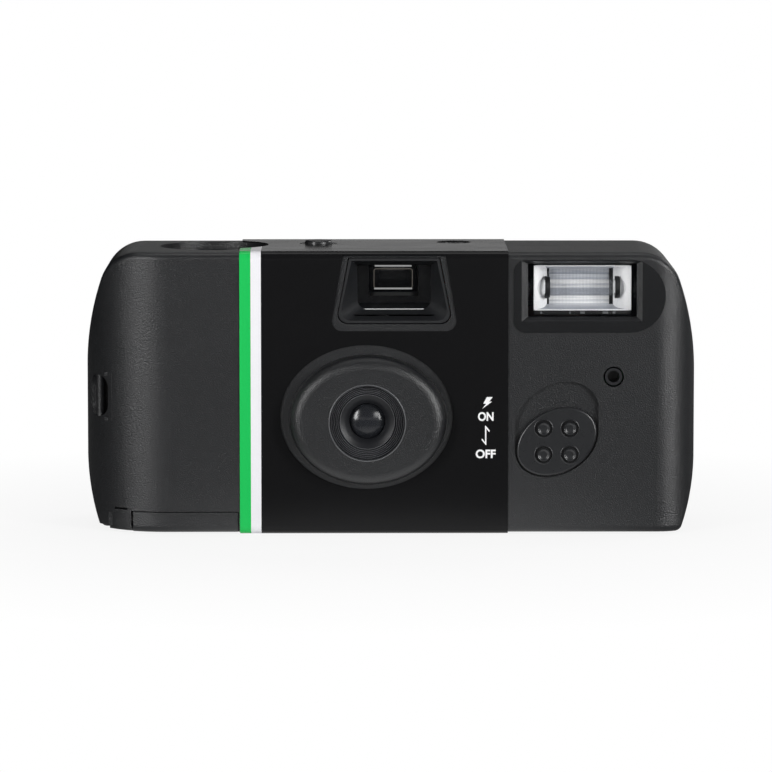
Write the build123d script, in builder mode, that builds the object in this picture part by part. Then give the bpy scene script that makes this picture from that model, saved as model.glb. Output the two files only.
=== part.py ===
from build123d import *
import os
from math import atan2, cos, degrees, radians, sin, sqrt

# Disposable film camera with a built-in flash, in millimetres.
# +X is to the right as seen from the front, the lens looks along -Y, and +Z is up.
# The origin is under the middle of the camera, on the surface that it stands on.

os.makedirs("parts", exist_ok=True)

# Driving dimensions of the body
body_width = 110.0
body_height = 50.5
body_depth = 30.2
dome_height = 4.05
wall = 1.4
label_thickness = 0.25
edge_radius = 1.2
side_trim = 0.04
side_low = 14.75
side_high = 27.75
bottom_draw = 2.7
top_draw = 5.0
top_corner_radius = 7.4
bottom_corner_radius = 1.5
barrel_radius = 15.0
right_front_radius = 7.0
rear_corner_radius = 8.0

# Clearances, and one overrun for all cuts
fit = 0.05
slack = 0.15
travel_gap = 0.3
overrun = 1.0

# Standard sizes: 35 mm film in its cartridge, and the small battery cell
film_width = 35.0
film_thickness = 0.15
frame_width = 36.0
frame_height = 24.0
perforation_pitch = 4.75
perforation_length = 1.98
perforation_height = 2.79
perforation_inset = 3.4
cartridge_radius = 12.5
cartridge_end_height = 3.8
cartridge_height = film_width + 2 * cartridge_end_height
battery_radius = 5.25
battery_length = 44.5

# Planes and faces of the body that the other pieces are placed from
total_depth = dome_height + body_depth + label_thickness
half_width = body_width / 2
back_y = total_depth / 2 - label_thickness
front_y = back_y - body_depth
dome_y = -total_depth / 2
floor_z = label_thickness
top_z = floor_z + body_height
inner_floor_z = floor_z + wall
inner_top_z = top_z - wall
inner_front_y = front_y + wall
inner_back_y = back_y - wall
seam_y = 3.0
seam_gap = 0.15


def span(low, high):
    """Middle and length of a stretch."""
    return (low + high) / 2, high - low


def block(x0, x1, y0, y1, z0, z1, mode=Mode.ADD):
    """A box between two corners."""
    x, length = span(x0, x1)
    y, width = span(y0, y1)
    z, height = span(z0, z1)
    with Locations((x, y, z)):
        Box(length, width, height, mode=mode)


def rod_x(y, z, radius, x0, x1, mode=Mode.ADD):
    """A round bar along X."""
    x, length = span(x0, x1)
    with Locations((x, y, z)):
        Cylinder(radius, length, rotation=(0, 90, 0), mode=mode)


def rod_y(x, z, radius, y0, y1, mode=Mode.ADD):
    """A round bar along Y."""
    y, length = span(y0, y1)
    with Locations((x, y, z)):
        Cylinder(radius, length, rotation=(90, 0, 0), mode=mode)


def rod_z(x, y, radius, z0, z1, mode=Mode.ADD):
    """A round bar along Z."""
    z, length = span(z0, z1)
    with Locations((x, y, z)):
        Cylinder(radius, length, mode=mode)


def facing_front(y):
    """The upright plane at y that looks to the front, with its own axes along X and Z."""
    return Plane.XZ.offset(-y)


def save(piece, name):
    """Labels a finished piece and writes it."""
    piece.part.label = name
    export_step(piece.part, f"parts/{name}.step")


def plan_outline(inset, side_room):
    """The body seen from above: a barrel round the cartridge, and smaller corners elsewhere."""
    with BuildSketch() as plan:
        with Locations((0, (front_y + back_y) / 2)):
            Rectangle(body_width + 2 * (side_trim + side_room), body_depth)
        fillet(plan.vertices().group_by(Axis.Y)[0].sort_by(Axis.X)[0], radius=barrel_radius)
        fillet(plan.vertices().group_by(Axis.Y)[0].sort_by(Axis.X)[-1], radius=right_front_radius)
        fillet(plan.vertices().group_by(Axis.Y)[-1], radius=rear_corner_radius)
        if inset:
            offset(amount=-inset)
    return plan.sketch


def body_block(inset, rounding):
    """The body's outer shape drawn in by inset: the front outline crossed with the plan.

    Where nothing is rounded the plan is a little wider, so that only the outline makes the sides.
    Both start a hair too wide, and the rounded shape is trimmed flat to the body's width.
    """
    side_room = 0 if rounding else slack
    side_x = half_width + side_trim
    with BuildPart() as shape:
        with BuildSketch(facing_front(back_y)) as outline:
            with BuildLine():
                lower = TangentArc(
                    (side_x, floor_z + side_low), (half_width - bottom_draw, floor_z), tangent=(0, -1)
                )
                Line((side_x, floor_z + side_low), (side_x, floor_z + side_high))
                upper = TangentArc(
                    (side_x, floor_z + side_high), (half_width - top_draw, top_z), tangent=(0, 1)
                )
                Line(upper @ 1, (0, top_z))
                Line(lower @ 1, (0, floor_z))
                mirror(about=Plane.YZ)
            make_face()
            corners = outline.vertices().filter_by(lambda v: abs(v.X) > wall)
            fillet(corners.group_by(Axis.Y)[-1], radius=top_corner_radius)
            corners = outline.vertices().filter_by(lambda v: abs(v.X) > wall)
            fillet(corners.group_by(Axis.Y)[0], radius=bottom_corner_radius)
            if inset:
                offset(amount=-inset)
        extrude(amount=body_depth)
        with BuildSketch(Plane.XY):
            add(plan_outline(inset, side_room))
        extrude(amount=top_z + overrun, mode=Mode.INTERSECT)
        if rounding:
            rims = shape.edges().filter_by(
                lambda e: abs(e.tangent_at(0.5).Z) < 0.999
                and (abs(e.tangent_at(0.5).Y) < 0.999 or e.geom_type != GeomType.LINE)
            )
            fillet(rims, radius=rounding)
            block(
                -half_width,
                half_width,
                front_y - overrun,
                back_y + overrun,
                floor_z - overrun,
                top_z + overrun,
                mode=Mode.INTERSECT,
            )
    return shape.part


body_outer = body_block(0, edge_radius)
body_inner = body_block(wall, 0)

# Lens group: the lens axis, the dome that carries it, and the stack behind the dome's skin
lens_x = -4.1
lens_z = 20.53
dome_x = -3.96
dome_z = 20.82
dome_half_width = 14.2
dome_half_height = 11.75
dome_draft = 0.3
dome_shoulder = 2.2
dome_skin = 1.2
dome_cavity_half_width = 12.6
dome_cavity_half_height = 10.2
lens_bore_radius = 6.78
retainer_radius = 7.6
retainer_length = 2.6
retainer_ring_depth = 0.42
retainer_ring_first = 6.3
retainer_ring_step = 0.47
retainer_ring_count = 4
lens_view_radius = 3.25
lens_radius = 4.3
lens_edge = 1.15
lens_curve_radius = 8.0
aperture_radius = 1.3
aperture_thickness = 0.25
lens_seat_radius = lens_radius + fit
light_hole_radius = 2.0
boss_length = 1.6
mount_plate_thickness = 0.6
mount_left_x = -15.6
mount_right_x = 10.0
mount_low_z = 10.6
mount_high_z = 35.0
collar_wall = 0.95
dome_skin_y = dome_y + dome_skin
retainer_front_y = dome_skin_y + slack
retainer_back_y = retainer_front_y + retainer_length
boss_front_y = retainer_back_y + slack / 3
boss_back_y = boss_front_y + boss_length
mount_back_y = boss_back_y + mount_plate_thickness

# Viewfinder: a tunnel from the front opening to the eyepiece
finder_x = 0.75
finder_low_drop = 14.05
finder_low_z = top_z - finder_low_drop
finder_rim = 1.25
finder_low_half = 11.5
finder_high_half = 9.2
finder_corner_radius = 1.8
finder_rim_side = 0.95
finder_open_high_drop = 0.85
finder_open_high_z = top_z - finder_open_high_drop
finder_open_low_z = finder_low_z + finder_rim
eyepiece_half = 4.0
eyepiece_low_drop = 8.85
eyepiece_low_z = top_z - eyepiece_low_drop
eyepiece_high_drop = 3.35
eyepiece_high_z = top_z - eyepiece_high_drop
eyepiece_bevel = 1.1

# Flash window: the smooth pad on the front cover and the bevelled opening in it
pad_left_inset = 32.8
pad_left_x = half_width - pad_left_inset
pad_right_inset = 5.6
pad_right_x = half_width - pad_right_inset
pad_low_drop = 14.35
pad_low_z = top_z - pad_low_drop
pad_high_drop = 1.25
pad_high_z = top_z - pad_high_drop
pad_height = 0.2
pad_left_radius = 2.2
pad_right_radius = 6.4
flash_left_inset = 29.2
flash_left_x = half_width - flash_left_inset
flash_right_inset = 11.65
flash_right_x = half_width - flash_right_inset
flash_low_drop = 10.81
flash_low_z = top_z - flash_low_drop
flash_high_drop = 2.35
flash_high_z = top_z - flash_high_drop
flash_frame_left = 2.35
flash_frame_right = 2.05
flash_frame_low = 1.64
flash_frame_high = 0.85
flash_bevel_share = 0.45
flash_bevel_depth = 0.8

# Flash switch: an oval knob that slides up in its recess and lifts the lamp
knob_inset = 25.05
knob_x = half_width - knob_inset
knob_z = 16.76
knob_long_radius = 7.67
knob_short_radius = 5.62
knob_tilt = 30
knob_travel = 4.3
knob_proud = 0.3
knob_thickness = 1.0
knob_stem_half = 1.8
knob_stem_drop = 1.6
recess_depth = 0.85

# Lamp and shutter button in the top
lamp_x = 11.84
lamp_y = 8.9
lamp_radius = 3.1
lamp_hole_radius = lamp_radius + 2 * fit
lamp_low_drop = 10.15
lamp_low_z = top_z - lamp_low_drop
lamp_sink = 1.05
button_x = -12.95
button_y = 6.1
button_radius = 2.5
button_proud = 0.6
button_travel = 1.6
button_flange_radius = 2.9
button_flange_height = 0.8
button_stem_radius = 1.3
button_stem_low_drop = 9.75
button_stem_low_z = top_z - button_stem_low_drop
button_collar_radius = 3.3

# Film path: the cartridge on the left, the gate, and the supply roll on the right
cartridge_inset = 16.8
cartridge_x = -half_width + cartridge_inset
cartridge_y = 2.9
cartridge_low_z = 1.55
cartridge_high_z = cartridge_low_z + cartridge_height
film_inset = 4.05
film_y = back_y - film_inset
film_back_y = film_y + film_thickness
film_mid_z = (cartridge_low_z + cartridge_high_z) / 2
film_low_z = film_mid_z - film_width / 2
film_high_z = film_mid_z + film_width / 2
supply_inset = 25.0
supply_x = half_width - supply_inset
supply_y = 4.0
roll_radius = 8.7
flange_radius = 9.0
gate_plate_thickness = 0.8
gate_plate_back_y = film_y - slack
gate_plate_front_y = gate_plate_back_y - gate_plate_thickness
gate_left_x = lens_x - frame_width / 2
gate_right_x = lens_x + frame_width / 2
gate_low_z = film_mid_z - frame_height / 2
gate_high_z = film_mid_z + frame_height / 2

# Top works: thumbwheel, sprocket shaft and counter dial
wheel_radius = 12.0
wheel_thickness = 2.0
wheel_low_drop = 5.8
wheel_low_z = top_z - wheel_low_drop
wheel_high_z = wheel_low_z + wheel_thickness
wheel_knurl_radius = 0.35
wheel_knurl_count = 48
deck_gap = 0.25
deck_low_z = wheel_high_z + deck_gap
deck_thickness = 0.6
deck_high_z = deck_low_z + deck_thickness
sprocket_inset = 36.2
sprocket_x = -half_width + sprocket_inset
sprocket_y = 7.0
sprocket_radius = 5.8
sprocket_thickness = 2.0
sprocket_tooth_count = 8
sprocket_tooth_width = 1.6
sprocket_tooth_height = 1.1
sprocket_shaft_radius = 1.5
sprocket_mid_z = film_high_z - perforation_inset
dial_inset = 22.95
dial_x = -half_width + dial_inset
dial_y = 3.4
dial_radius = 8.4
dial_thickness = 0.5
dial_low_z = deck_high_z + travel_gap
dial_high_z = dial_low_z + dial_thickness
dial_tooth_count = 30
dial_notch_width = 0.9
dial_notch_depth = 0.9
dial_stud_radius = 1.2
window_hole_radius = 9.75
window_radius = 9.6
window_flange_radius = 10.1
window_flange_height = 0.35
window_rim_height = 0.85
window_dome = 0.5

# Thumb scoop in the back, where the wheel's rim is reached
scoop_left_inset = 8.5
scoop_left_x = -half_width + scoop_left_inset
scoop_right_inset = 25.1
scoop_right_x = -half_width + scoop_right_inset
scoop_low_drop = 10.75
scoop_low_z = top_z - scoop_low_drop
scoop_floor_depth = 3.2
scoop_lip_depth = 0.8
scoop_floor_y = back_y - scoop_floor_depth
scoop_lip_y = back_y - scoop_lip_depth
scoop_high_drop = 2.85
scoop_high_z = top_z - scoop_high_drop
scoop_rim_drop = 1.85
scoop_rim_z = top_z - scoop_rim_drop

# Cartridge door in the floor, hinged along its right edge
door_thickness = 1.2
door_lip_left_inset = 8.7
door_lip_left_x = -half_width + door_lip_left_inset
door_lip_right_inset = 27.6
door_lip_right_x = -half_width + door_lip_right_inset
door_lip_high_z = 3.9
door_left_gap = 0.35
door_hook_left_inset = 6.2
door_hook_left_x = -half_width + door_hook_left_inset
door_hook_right_inset = 7.4
door_hook_right_x = -half_width + door_hook_right_inset
door_hook_front_y = -8.2
door_hook_back_y = -7.2
door_hook_high_z = 4.7
nail_notch_left_inset = 2.0
nail_notch_left_x = -half_width + nail_notch_left_inset
nail_notch_slope_inset = 5.5
nail_notch_slope_x = -half_width + nail_notch_slope_inset
nail_notch_rise = 0.85
hinge_inset = 30.4
hinge_x = -half_width + hinge_inset
hinge_radius = 0.75
hinge_z = floor_z + hinge_radius
hinge_pin_radius = 0.45
hinge_pin_length = 0.8
hinge_clearance = 0.3
latch_step_left_inset = 3.2
latch_step_left_x = -half_width + latch_step_left_inset
latch_step_high_z = 3.6
latch_step_depth = 0.6
latch_slit_left_inset = 5.3
latch_slit_left_x = -half_width + latch_slit_left_inset
latch_slit_right_inset = 7.7
latch_slit_right_x = -half_width + latch_slit_right_inset
latch_slit_z = 4.2
latch_slit_height = 0.35

# Strap slot in the left side
strap_low_z = 20.7
strap_high_z = 28.2
strap_front_y = -8.6
strap_back_y = -3.6
strap_floor_inset = 4.8
strap_floor_x = -half_width + strap_floor_inset
strap_floor_thickness = 0.7
strap_corner_radius = 2.2
strap_bar_radius = 0.8
strap_bar_inset = 2.7
strap_bar_x = -half_width + strap_bar_inset
strap_bar_y = -5.3

# Label
label_hinge_lap = 2.4
label_pad_gap = 1.0
label_left_x = hinge_x - label_hinge_lap
label_right_x = pad_left_x - label_pad_gap
label_ring_x = -4.23
label_ring_z = 21.2
label_ring_half_width = 15.54
label_ring_half_height = 13.0
label_button_radius = 3.4
label_eyepiece_gap = 1.3

# Sight hole with its hollow post, to the right of the flash switch
post_inset = 14.85
post_x = half_width - post_inset
post_z = 28.43
post_hole_radius = 1.84
post_radius = 1.55
post_bore_radius = 1.07

# Flash board and battery
battery_left_x = -22.6
battery_right_x = battery_left_x + battery_length
battery_board_gap = 1.6
board_front_y = -6.4
board_thickness = 1.0
board_back_y = board_front_y + board_thickness
board_left_x = battery_right_x + battery_board_gap
board_right_inset = 3.0
board_right_x = half_width - board_right_inset
board_low_z = 5.0
board_high_z = 37.0
battery_y = inner_front_y + battery_radius + slack
battery_z = inner_floor_z + battery_radius + slack


stem_z = knob_z - knob_stem_drop


def finder_outline(low_half, high_half, low_z, high_z):
    """The viewfinder's opening: wider below, with rounded lower corners."""
    with BuildSketch() as outline:
        with BuildLine():
            Polyline(
                (finder_x - low_half, low_z),
                (finder_x + low_half, low_z),
                (finder_x + high_half, high_z),
                (finder_x - high_half, high_z),
                close=True,
            )
        make_face()
        fillet(outline.vertices().group_by(Axis.Y)[0], radius=finder_corner_radius)
    return outline.sketch


def knob_sweep(grow, travel):
    """The knob's oval, grown all round, and the ground that it covers when it slides up."""
    long_radius = knob_long_radius + grow
    short_radius = knob_short_radius + grow
    tilt = radians(knob_tilt)
    reach = sqrt((long_radius * cos(tilt)) ** 2 + (short_radius * sin(tilt)) ** 2)
    rise = (long_radius**2 - short_radius**2) * sin(tilt) * cos(tilt) / reach
    with BuildSketch() as oval:
        with Locations((knob_x, knob_z)):
            Ellipse(long_radius, short_radius, rotation=knob_tilt)
        if travel:
            with Locations((knob_x, knob_z + travel)):
                Ellipse(long_radius, short_radius, rotation=knob_tilt)
            with BuildLine():
                Polyline(
                    (knob_x - reach, knob_z - rise),
                    (knob_x + reach, knob_z + rise),
                    (knob_x + reach, knob_z + rise + travel),
                    (knob_x - reach, knob_z - rise + travel),
                    close=True,
                )
            make_face()
    return oval.sketch


def frame_rectangle(left, right, low, high):
    """A rectangle in X and Z between four edges, inside a sketch that faces the front."""
    x, width = span(left, right)
    z, height = span(low, high)
    with Locations((x, z)):
        Rectangle(width, height)


# Scoop and wheel slot, taken out of the covers
with BuildPart() as scoop:
    with BuildSketch(Plane.YZ.offset(scoop_left_x)):
        with BuildLine():
            Polyline(
                (scoop_floor_y, wheel_low_z - travel_gap),
                (scoop_lip_y, wheel_low_z - travel_gap),
                (back_y, scoop_low_z),
                (back_y + overrun, scoop_low_z),
                (back_y + overrun, scoop_rim_z),
                (back_y, scoop_rim_z),
                (scoop_floor_y, scoop_high_z),
                close=True,
            )
        make_face()
    extrude(amount=scoop_right_x - scoop_left_x)

# Fingernail step beside the door
with BuildPart() as latch_step:
    add(body_outer)
    add(body_block(latch_step_depth, 0), mode=Mode.SUBTRACT)
    block(
        latch_step_left_x,
        door_lip_left_x,
        front_y - overrun,
        strap_front_y,
        floor_z - overrun,
        latch_step_high_z,
        mode=Mode.INTERSECT,
    )

def door_outline(inset, gap):
    """The floor's opening for the cartridge: the plan inside the walls, left of the hinge."""
    left = -(half_width - bottom_draw - inset) + gap
    right = hinge_x + hinge_radius + hinge_clearance if gap == 0 else hinge_x
    with BuildSketch() as opening:
        add(plan_outline(inset + gap, 0))
        with Locations((span(left, right)[0], 0)):
            Rectangle(right - left, 2 * body_depth, mode=Mode.INTERSECT)
    return opening.sketch


# Space for the wheel, the counter window and the door in both covers
window_flange_low_z = inner_top_z - slack / 3 - window_flange_height
door_back_y = inner_back_y - slack
door_front_y = inner_front_y + slack
with BuildPart() as shared_space:
    rod_z(
        cartridge_x,
        cartridge_y,
        wheel_radius + travel_gap,
        wheel_low_z - travel_gap,
        wheel_high_z + travel_gap,
    )
    rod_z(dial_x, dial_y, window_hole_radius, inner_top_z - overrun, top_z + overrun)
    rod_z(
        dial_x,
        dial_y,
        window_flange_radius + travel_gap,
        window_flange_low_z - slack,
        inner_top_z,
    )
    with BuildSketch(Plane.XY.offset(floor_z - overrun)):
        add(door_outline(wall, 0))
    extrude(amount=wall + overrun + slack / 3)

# Front cover
pocket_floor_back_x = strap_floor_x + strap_floor_thickness
knob_space = knob_travel + slack
with BuildPart() as dome:
    with BuildSketch(facing_front(inner_front_y - wall / 2)):
        with Locations((dome_x, dome_z)):
            Ellipse(dome_half_width, dome_half_height)
    with BuildSketch(facing_front(dome_y)):
        with Locations((dome_x, dome_z)):
            Ellipse(dome_half_width - dome_draft, dome_half_height - dome_draft)
    loft()
    fillet(dome.edges().group_by(Axis.Y)[0], radius=dome_shoulder)

with BuildPart() as front_cover:
    add(body_outer)
    add(dome.part)
    with BuildSketch(facing_front(front_y + pad_height)) as pad:
        frame_rectangle(pad_left_x, pad_right_x, pad_low_z, pad_high_z)
        fillet(pad.vertices().group_by(Axis.X)[0], radius=pad_left_radius)
        fillet(pad.vertices().group_by(Axis.X)[-1], radius=pad_right_radius)
    extrude(amount=2 * pad_height)
    add(body_inner, mode=Mode.SUBTRACT)
    with BuildSketch(facing_front(inner_front_y + overrun)):
        with Locations((dome_x, dome_z)):
            Ellipse(dome_cavity_half_width, dome_cavity_half_height)
    extrude(amount=inner_front_y + overrun - dome_skin_y, mode=Mode.SUBTRACT)
    rod_y(lens_x, lens_z, retainer_radius + slack + collar_wall, dome_skin_y - dome_skin / 2, boss_front_y)
    rod_y(lens_x, lens_z, retainer_radius + slack, dome_skin_y, boss_front_y, mode=Mode.SUBTRACT)
    rod_y(lens_x, lens_z, lens_bore_radius, dome_y - overrun, dome_skin_y + overrun, mode=Mode.SUBTRACT)
    block(
        strap_floor_x,
        pocket_floor_back_x,
        strap_front_y - strap_floor_thickness,
        strap_back_y + strap_floor_thickness,
        strap_low_z - strap_floor_thickness,
        strap_high_z + strap_floor_thickness,
    )
    block(
        -half_width + wall,
        strap_floor_x,
        strap_back_y,
        strap_back_y + strap_floor_thickness,
        strap_low_z - strap_floor_thickness,
        strap_high_z + strap_floor_thickness,
    )
    for low_z in (strap_low_z - strap_floor_thickness, strap_high_z):
        block(
            strap_bar_x + strap_bar_radius,
            strap_floor_x,
            strap_front_y,
            strap_back_y,
            low_z,
            low_z + strap_floor_thickness,
        )
    with BuildSketch(Plane.YZ.offset(-half_width - overrun)):
        with Locations(((strap_front_y + strap_back_y) / 2, (strap_low_z + strap_high_z) / 2)):
            RectangleRounded(strap_back_y - strap_front_y, strap_high_z - strap_low_z, strap_corner_radius)
    extrude(amount=strap_floor_x + half_width + overrun, mode=Mode.SUBTRACT)
    rod_z(strap_bar_x, strap_bar_y, strap_bar_radius, strap_low_z, strap_high_z)
    with BuildSketch(facing_front(inner_front_y + overrun)):
        add(
            finder_outline(
                finder_low_half - finder_rim_side,
                finder_high_half - finder_rim_side,
                finder_open_low_z,
                finder_open_high_z,
            )
        )
    extrude(amount=wall + 2 * overrun, mode=Mode.SUBTRACT)
    with BuildSketch(facing_front(front_y - pad_height)):
        frame_rectangle(
            flash_left_x - flash_frame_left,
            flash_right_x + flash_frame_right,
            flash_low_z - flash_frame_low,
            flash_high_z + flash_frame_high,
        )
    with BuildSketch(facing_front(front_y - pad_height + flash_bevel_depth)):
        frame_rectangle(
            flash_left_x - flash_frame_left * flash_bevel_share,
            flash_right_x + flash_frame_right * flash_bevel_share,
            flash_low_z - flash_frame_low * flash_bevel_share,
            flash_high_z + flash_frame_high * flash_bevel_share,
        )
    loft(mode=Mode.SUBTRACT)
    block(
        flash_left_x - flash_frame_left * flash_bevel_share,
        flash_right_x + flash_frame_right * flash_bevel_share,
        front_y - overrun,
        inner_front_y + overrun,
        flash_low_z - flash_frame_low * flash_bevel_share,
        flash_high_z + flash_frame_high * flash_bevel_share,
        mode=Mode.SUBTRACT,
    )
    with BuildSketch(facing_front(front_y + recess_depth)):
        add(knob_sweep(travel_gap, knob_travel))
    extrude(amount=recess_depth + overrun, mode=Mode.SUBTRACT)
    block(
        knob_x - knob_stem_half - slack,
        knob_x + knob_stem_half + slack,
        front_y,
        inner_front_y + overrun,
        stem_z - knob_stem_half - slack,
        stem_z + knob_stem_half + knob_space,
        mode=Mode.SUBTRACT,
    )
    rod_y(post_x, post_z, post_hole_radius, front_y - overrun, inner_front_y + overrun, mode=Mode.SUBTRACT)
    block(
        latch_slit_left_x,
        latch_slit_right_x,
        front_y,
        strap_front_y,
        latch_slit_z,
        latch_slit_z + latch_slit_height,
        mode=Mode.SUBTRACT,
    )
    add(latch_step.part, mode=Mode.SUBTRACT)
    with BuildSketch(facing_front(strap_back_y)):
        with BuildLine():
            Polyline(
                (nail_notch_left_x, floor_z - overrun),
                (door_lip_left_x, floor_z - overrun),
                (door_lip_left_x, floor_z),
                (nail_notch_slope_x, floor_z + nail_notch_rise),
                (nail_notch_left_x, floor_z + nail_notch_rise),
                close=True,
            )
        make_face()
    extrude(amount=strap_back_y - front_y + overrun, mode=Mode.SUBTRACT)
    add(shared_space.part, mode=Mode.SUBTRACT)
    block(
        door_lip_left_x - door_left_gap,
        door_lip_right_x + slack,
        front_y - overrun,
        door_hook_back_y + travel_gap,
        floor_z - overrun,
        door_lip_high_z + slack,
        mode=Mode.SUBTRACT,
    )
    rod_y(
        hinge_x,
        hinge_z,
        hinge_pin_radius + fit,
        inner_front_y - hinge_pin_length - fit,
        inner_front_y,
        mode=Mode.SUBTRACT,
    )
    block(
        -half_width - overrun,
        half_width + overrun,
        seam_y - seam_gap / 2,
        back_y + overrun,
        floor_z - overrun,
        top_z + overrun,
        mode=Mode.SUBTRACT,
    )
save(front_cover, "front_cover")

# Rear cover
rear_rib_left_x = -20.0
rear_rib_right_x = 12.0
rear_rib_width = 1.2
rear_rib_pitch = 7.6
rear_rib_count = 4
plate_thickness = 0.85
plate_front_y = film_back_y + 2 * slack
plate_back_y = plate_front_y + plate_thickness
scoop_wall_front_y = scoop_floor_y - wall
with BuildPart() as rear_cover:
    add(body_outer)
    add(body_inner, mode=Mode.SUBTRACT)
    block(
        scoop_left_x - wall,
        scoop_right_x + wall,
        scoop_wall_front_y,
        back_y - wall / 2,
        wheel_high_z + travel_gap,
        top_z - wall / 2,
    )
    rod_z(button_x, button_y, button_collar_radius, top_z - wall / 2, top_z + label_thickness)
    for index in range(rear_rib_count):
        z = gate_low_z + index * rear_rib_pitch
        block(
            rear_rib_left_x,
            rear_rib_right_x,
            plate_back_y + slack,
            inner_back_y + wall / 2,
            z,
            z + rear_rib_width,
        )
    add(scoop.part, mode=Mode.SUBTRACT)
    rod_z(button_x, button_y, button_radius + fit, inner_top_z - overrun, top_z + overrun, mode=Mode.SUBTRACT)
    rod_z(lamp_x, lamp_y, lamp_hole_radius, inner_top_z - overrun, top_z + overrun, mode=Mode.SUBTRACT)
    block(
        finder_x - eyepiece_half,
        finder_x + eyepiece_half,
        inner_back_y - overrun,
        back_y + overrun,
        eyepiece_low_z,
        eyepiece_high_z,
        mode=Mode.SUBTRACT,
    )
    with BuildSketch(Plane.XZ.offset(-back_y)):
        frame_rectangle(
            finder_x - eyepiece_half - eyepiece_bevel,
            finder_x + eyepiece_half + eyepiece_bevel,
            eyepiece_low_z - eyepiece_bevel,
            eyepiece_high_z + eyepiece_bevel,
        )
    with BuildSketch(Plane.XZ.offset(-inner_back_y - wall / 3)):
        frame_rectangle(
            finder_x - eyepiece_half,
            finder_x + eyepiece_half,
            eyepiece_low_z,
            eyepiece_high_z,
        )
    loft(mode=Mode.SUBTRACT)
    add(shared_space.part, mode=Mode.SUBTRACT)
    rod_y(
        hinge_x,
        hinge_z,
        hinge_pin_radius + fit,
        inner_back_y,
        inner_back_y + hinge_pin_length + fit,
        mode=Mode.SUBTRACT,
    )
    block(
        -half_width - overrun,
        half_width + overrun,
        front_y - overrun,
        seam_y + seam_gap / 2,
        floor_z - overrun,
        top_z + overrun,
        mode=Mode.SUBTRACT,
    )
save(rear_cover, "rear_cover")

# Label, one printed card that runs round the middle of the covers
with BuildPart() as label_wrap:
    with BuildSketch(Plane.YZ.offset(label_left_x)) as band:
        with Locations((span(front_y, back_y)[0], span(floor_z, top_z)[0])):
            Rectangle(body_depth + 2 * label_thickness, body_height + 2 * label_thickness)
            fillet(band.vertices(), radius=edge_radius + label_thickness)
            RectangleRounded(body_depth, body_height, edge_radius, mode=Mode.SUBTRACT)
    extrude(amount=label_right_x - label_left_x)
    with BuildSketch(facing_front(front_y + overrun / 2)):
        with Locations((label_ring_x, label_ring_z)):
            Ellipse(label_ring_half_width, label_ring_half_height)
    extrude(amount=2 * overrun, mode=Mode.SUBTRACT)
    with BuildSketch(facing_front(front_y + overrun / 2)):
        add(finder_outline(finder_low_half, finder_high_half, finder_low_z, top_z - edge_radius / 3))
    extrude(amount=2 * overrun, mode=Mode.SUBTRACT)
    block(
        finder_x - eyepiece_half - label_eyepiece_gap,
        finder_x + eyepiece_half + label_eyepiece_gap,
        back_y - overrun / 2,
        back_y + overrun,
        eyepiece_low_z - label_eyepiece_gap,
        eyepiece_high_z + label_eyepiece_gap,
        mode=Mode.SUBTRACT,
    )
    rod_z(button_x, button_y, label_button_radius, top_z - wall, top_z + overrun, mode=Mode.SUBTRACT)
    rod_z(lamp_x, lamp_y, lamp_hole_radius, top_z - wall, top_z + overrun, mode=Mode.SUBTRACT)
    rod_z(dial_x, dial_y, window_hole_radius + travel_gap, top_z - wall, top_z + overrun, mode=Mode.SUBTRACT)
    block(
        label_left_x - overrun,
        hinge_x + hinge_radius + 2 * hinge_clearance,
        inner_front_y,
        inner_back_y,
        -overrun,
        floor_z + overrun,
        mode=Mode.SUBTRACT,
    )
save(label_wrap, "label_wrap")

# Main chassis: chamber wall, gate and film rails, light tunnel, lens wall, decks and brackets
chamber_wall_thickness = 1.0
chamber_wall_right_x = hinge_x + travel_gap
chamber_wall_left_x = chamber_wall_right_x - chamber_wall_thickness
chassis_low_z = inner_floor_z + slack
chassis_foot_z = hinge_z + hinge_radius + travel_gap + slack
lens_wall_front_y = -10.2
lens_wall_thickness = 1.4
lens_wall_left_x = -18.0
lens_wall_right_x = 16.0
lens_wall_low_z = battery_z + battery_radius + travel_gap
lens_wall_high_drop = 13.35
lens_wall_high_z = top_z - lens_wall_high_drop
lens_wall_hole_radius = 2.5
tunnel_front_half_width = 8.0
tunnel_front_low_z = 14.5
tunnel_front_high_z = 26.5
tunnel_wall = 0.8
spacer_width = 2.0
rail_height = 0.6
plate_edge_right_x = 20.3
post_left_x = 18.9
post_front_y = 9.5
supply_wall_thickness = 0.8
supply_wall_x = supply_x + flange_radius + 2 * travel_gap
supply_plate_thickness = 1.0
supply_plate_rise = 3.85
supply_plate_high_z = film_high_z + supply_plate_rise
supply_pin_radius = 1.5
shaft_seat_drop = 3.95
shaft_seat_low_z = sprocket_mid_z - shaft_seat_drop
shaft_seat_gap = 0.7
shaft_seat_high_z = sprocket_mid_z - sprocket_thickness / 2 - shaft_seat_gap
shaft_seat_front_y = 4.5
shaft_seat_right_inset = 39.0
shaft_seat_right_x = -half_width + shaft_seat_right_inset
guide_low_drop = 5.95
guide_low_z = top_z - guide_low_drop
guide_thickness = 1.0
guide_left_x = -16.0
guide_right_x = -10.2
guide_front_y = 3.4
guide_web_front_y = 11.2
guide_web_low_drop = 12.45
guide_web_low_z = top_z - guide_web_low_drop
striker_x = -5.0
striker_y = -3.0
striker_low_drop = 12.55
striker_low_z = top_z - striker_low_drop
striker_thickness = 1.0
striker_post_radius = 2.0
striker_pin_radius = 1.0
blade_pivot_x = 3.2
blade_pivot_z = 28.0
blade_pin_radius = 0.6
lamp_seat_front_y = 10.55
lamp_seat_low_drop = 14.35
lamp_seat_low_z = top_z - lamp_seat_low_drop
lamp_seat_high_drop = 10.55
lamp_seat_high_z = top_z - lamp_seat_high_drop
lamp_seat_left_x = 9.0
lamp_seat_right_x = 14.8
deck_back_y = 12.2
deck_right_inset = 38.7
deck_right_x = -half_width + deck_right_inset
wheel_pivot_radius = 2.45
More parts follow.
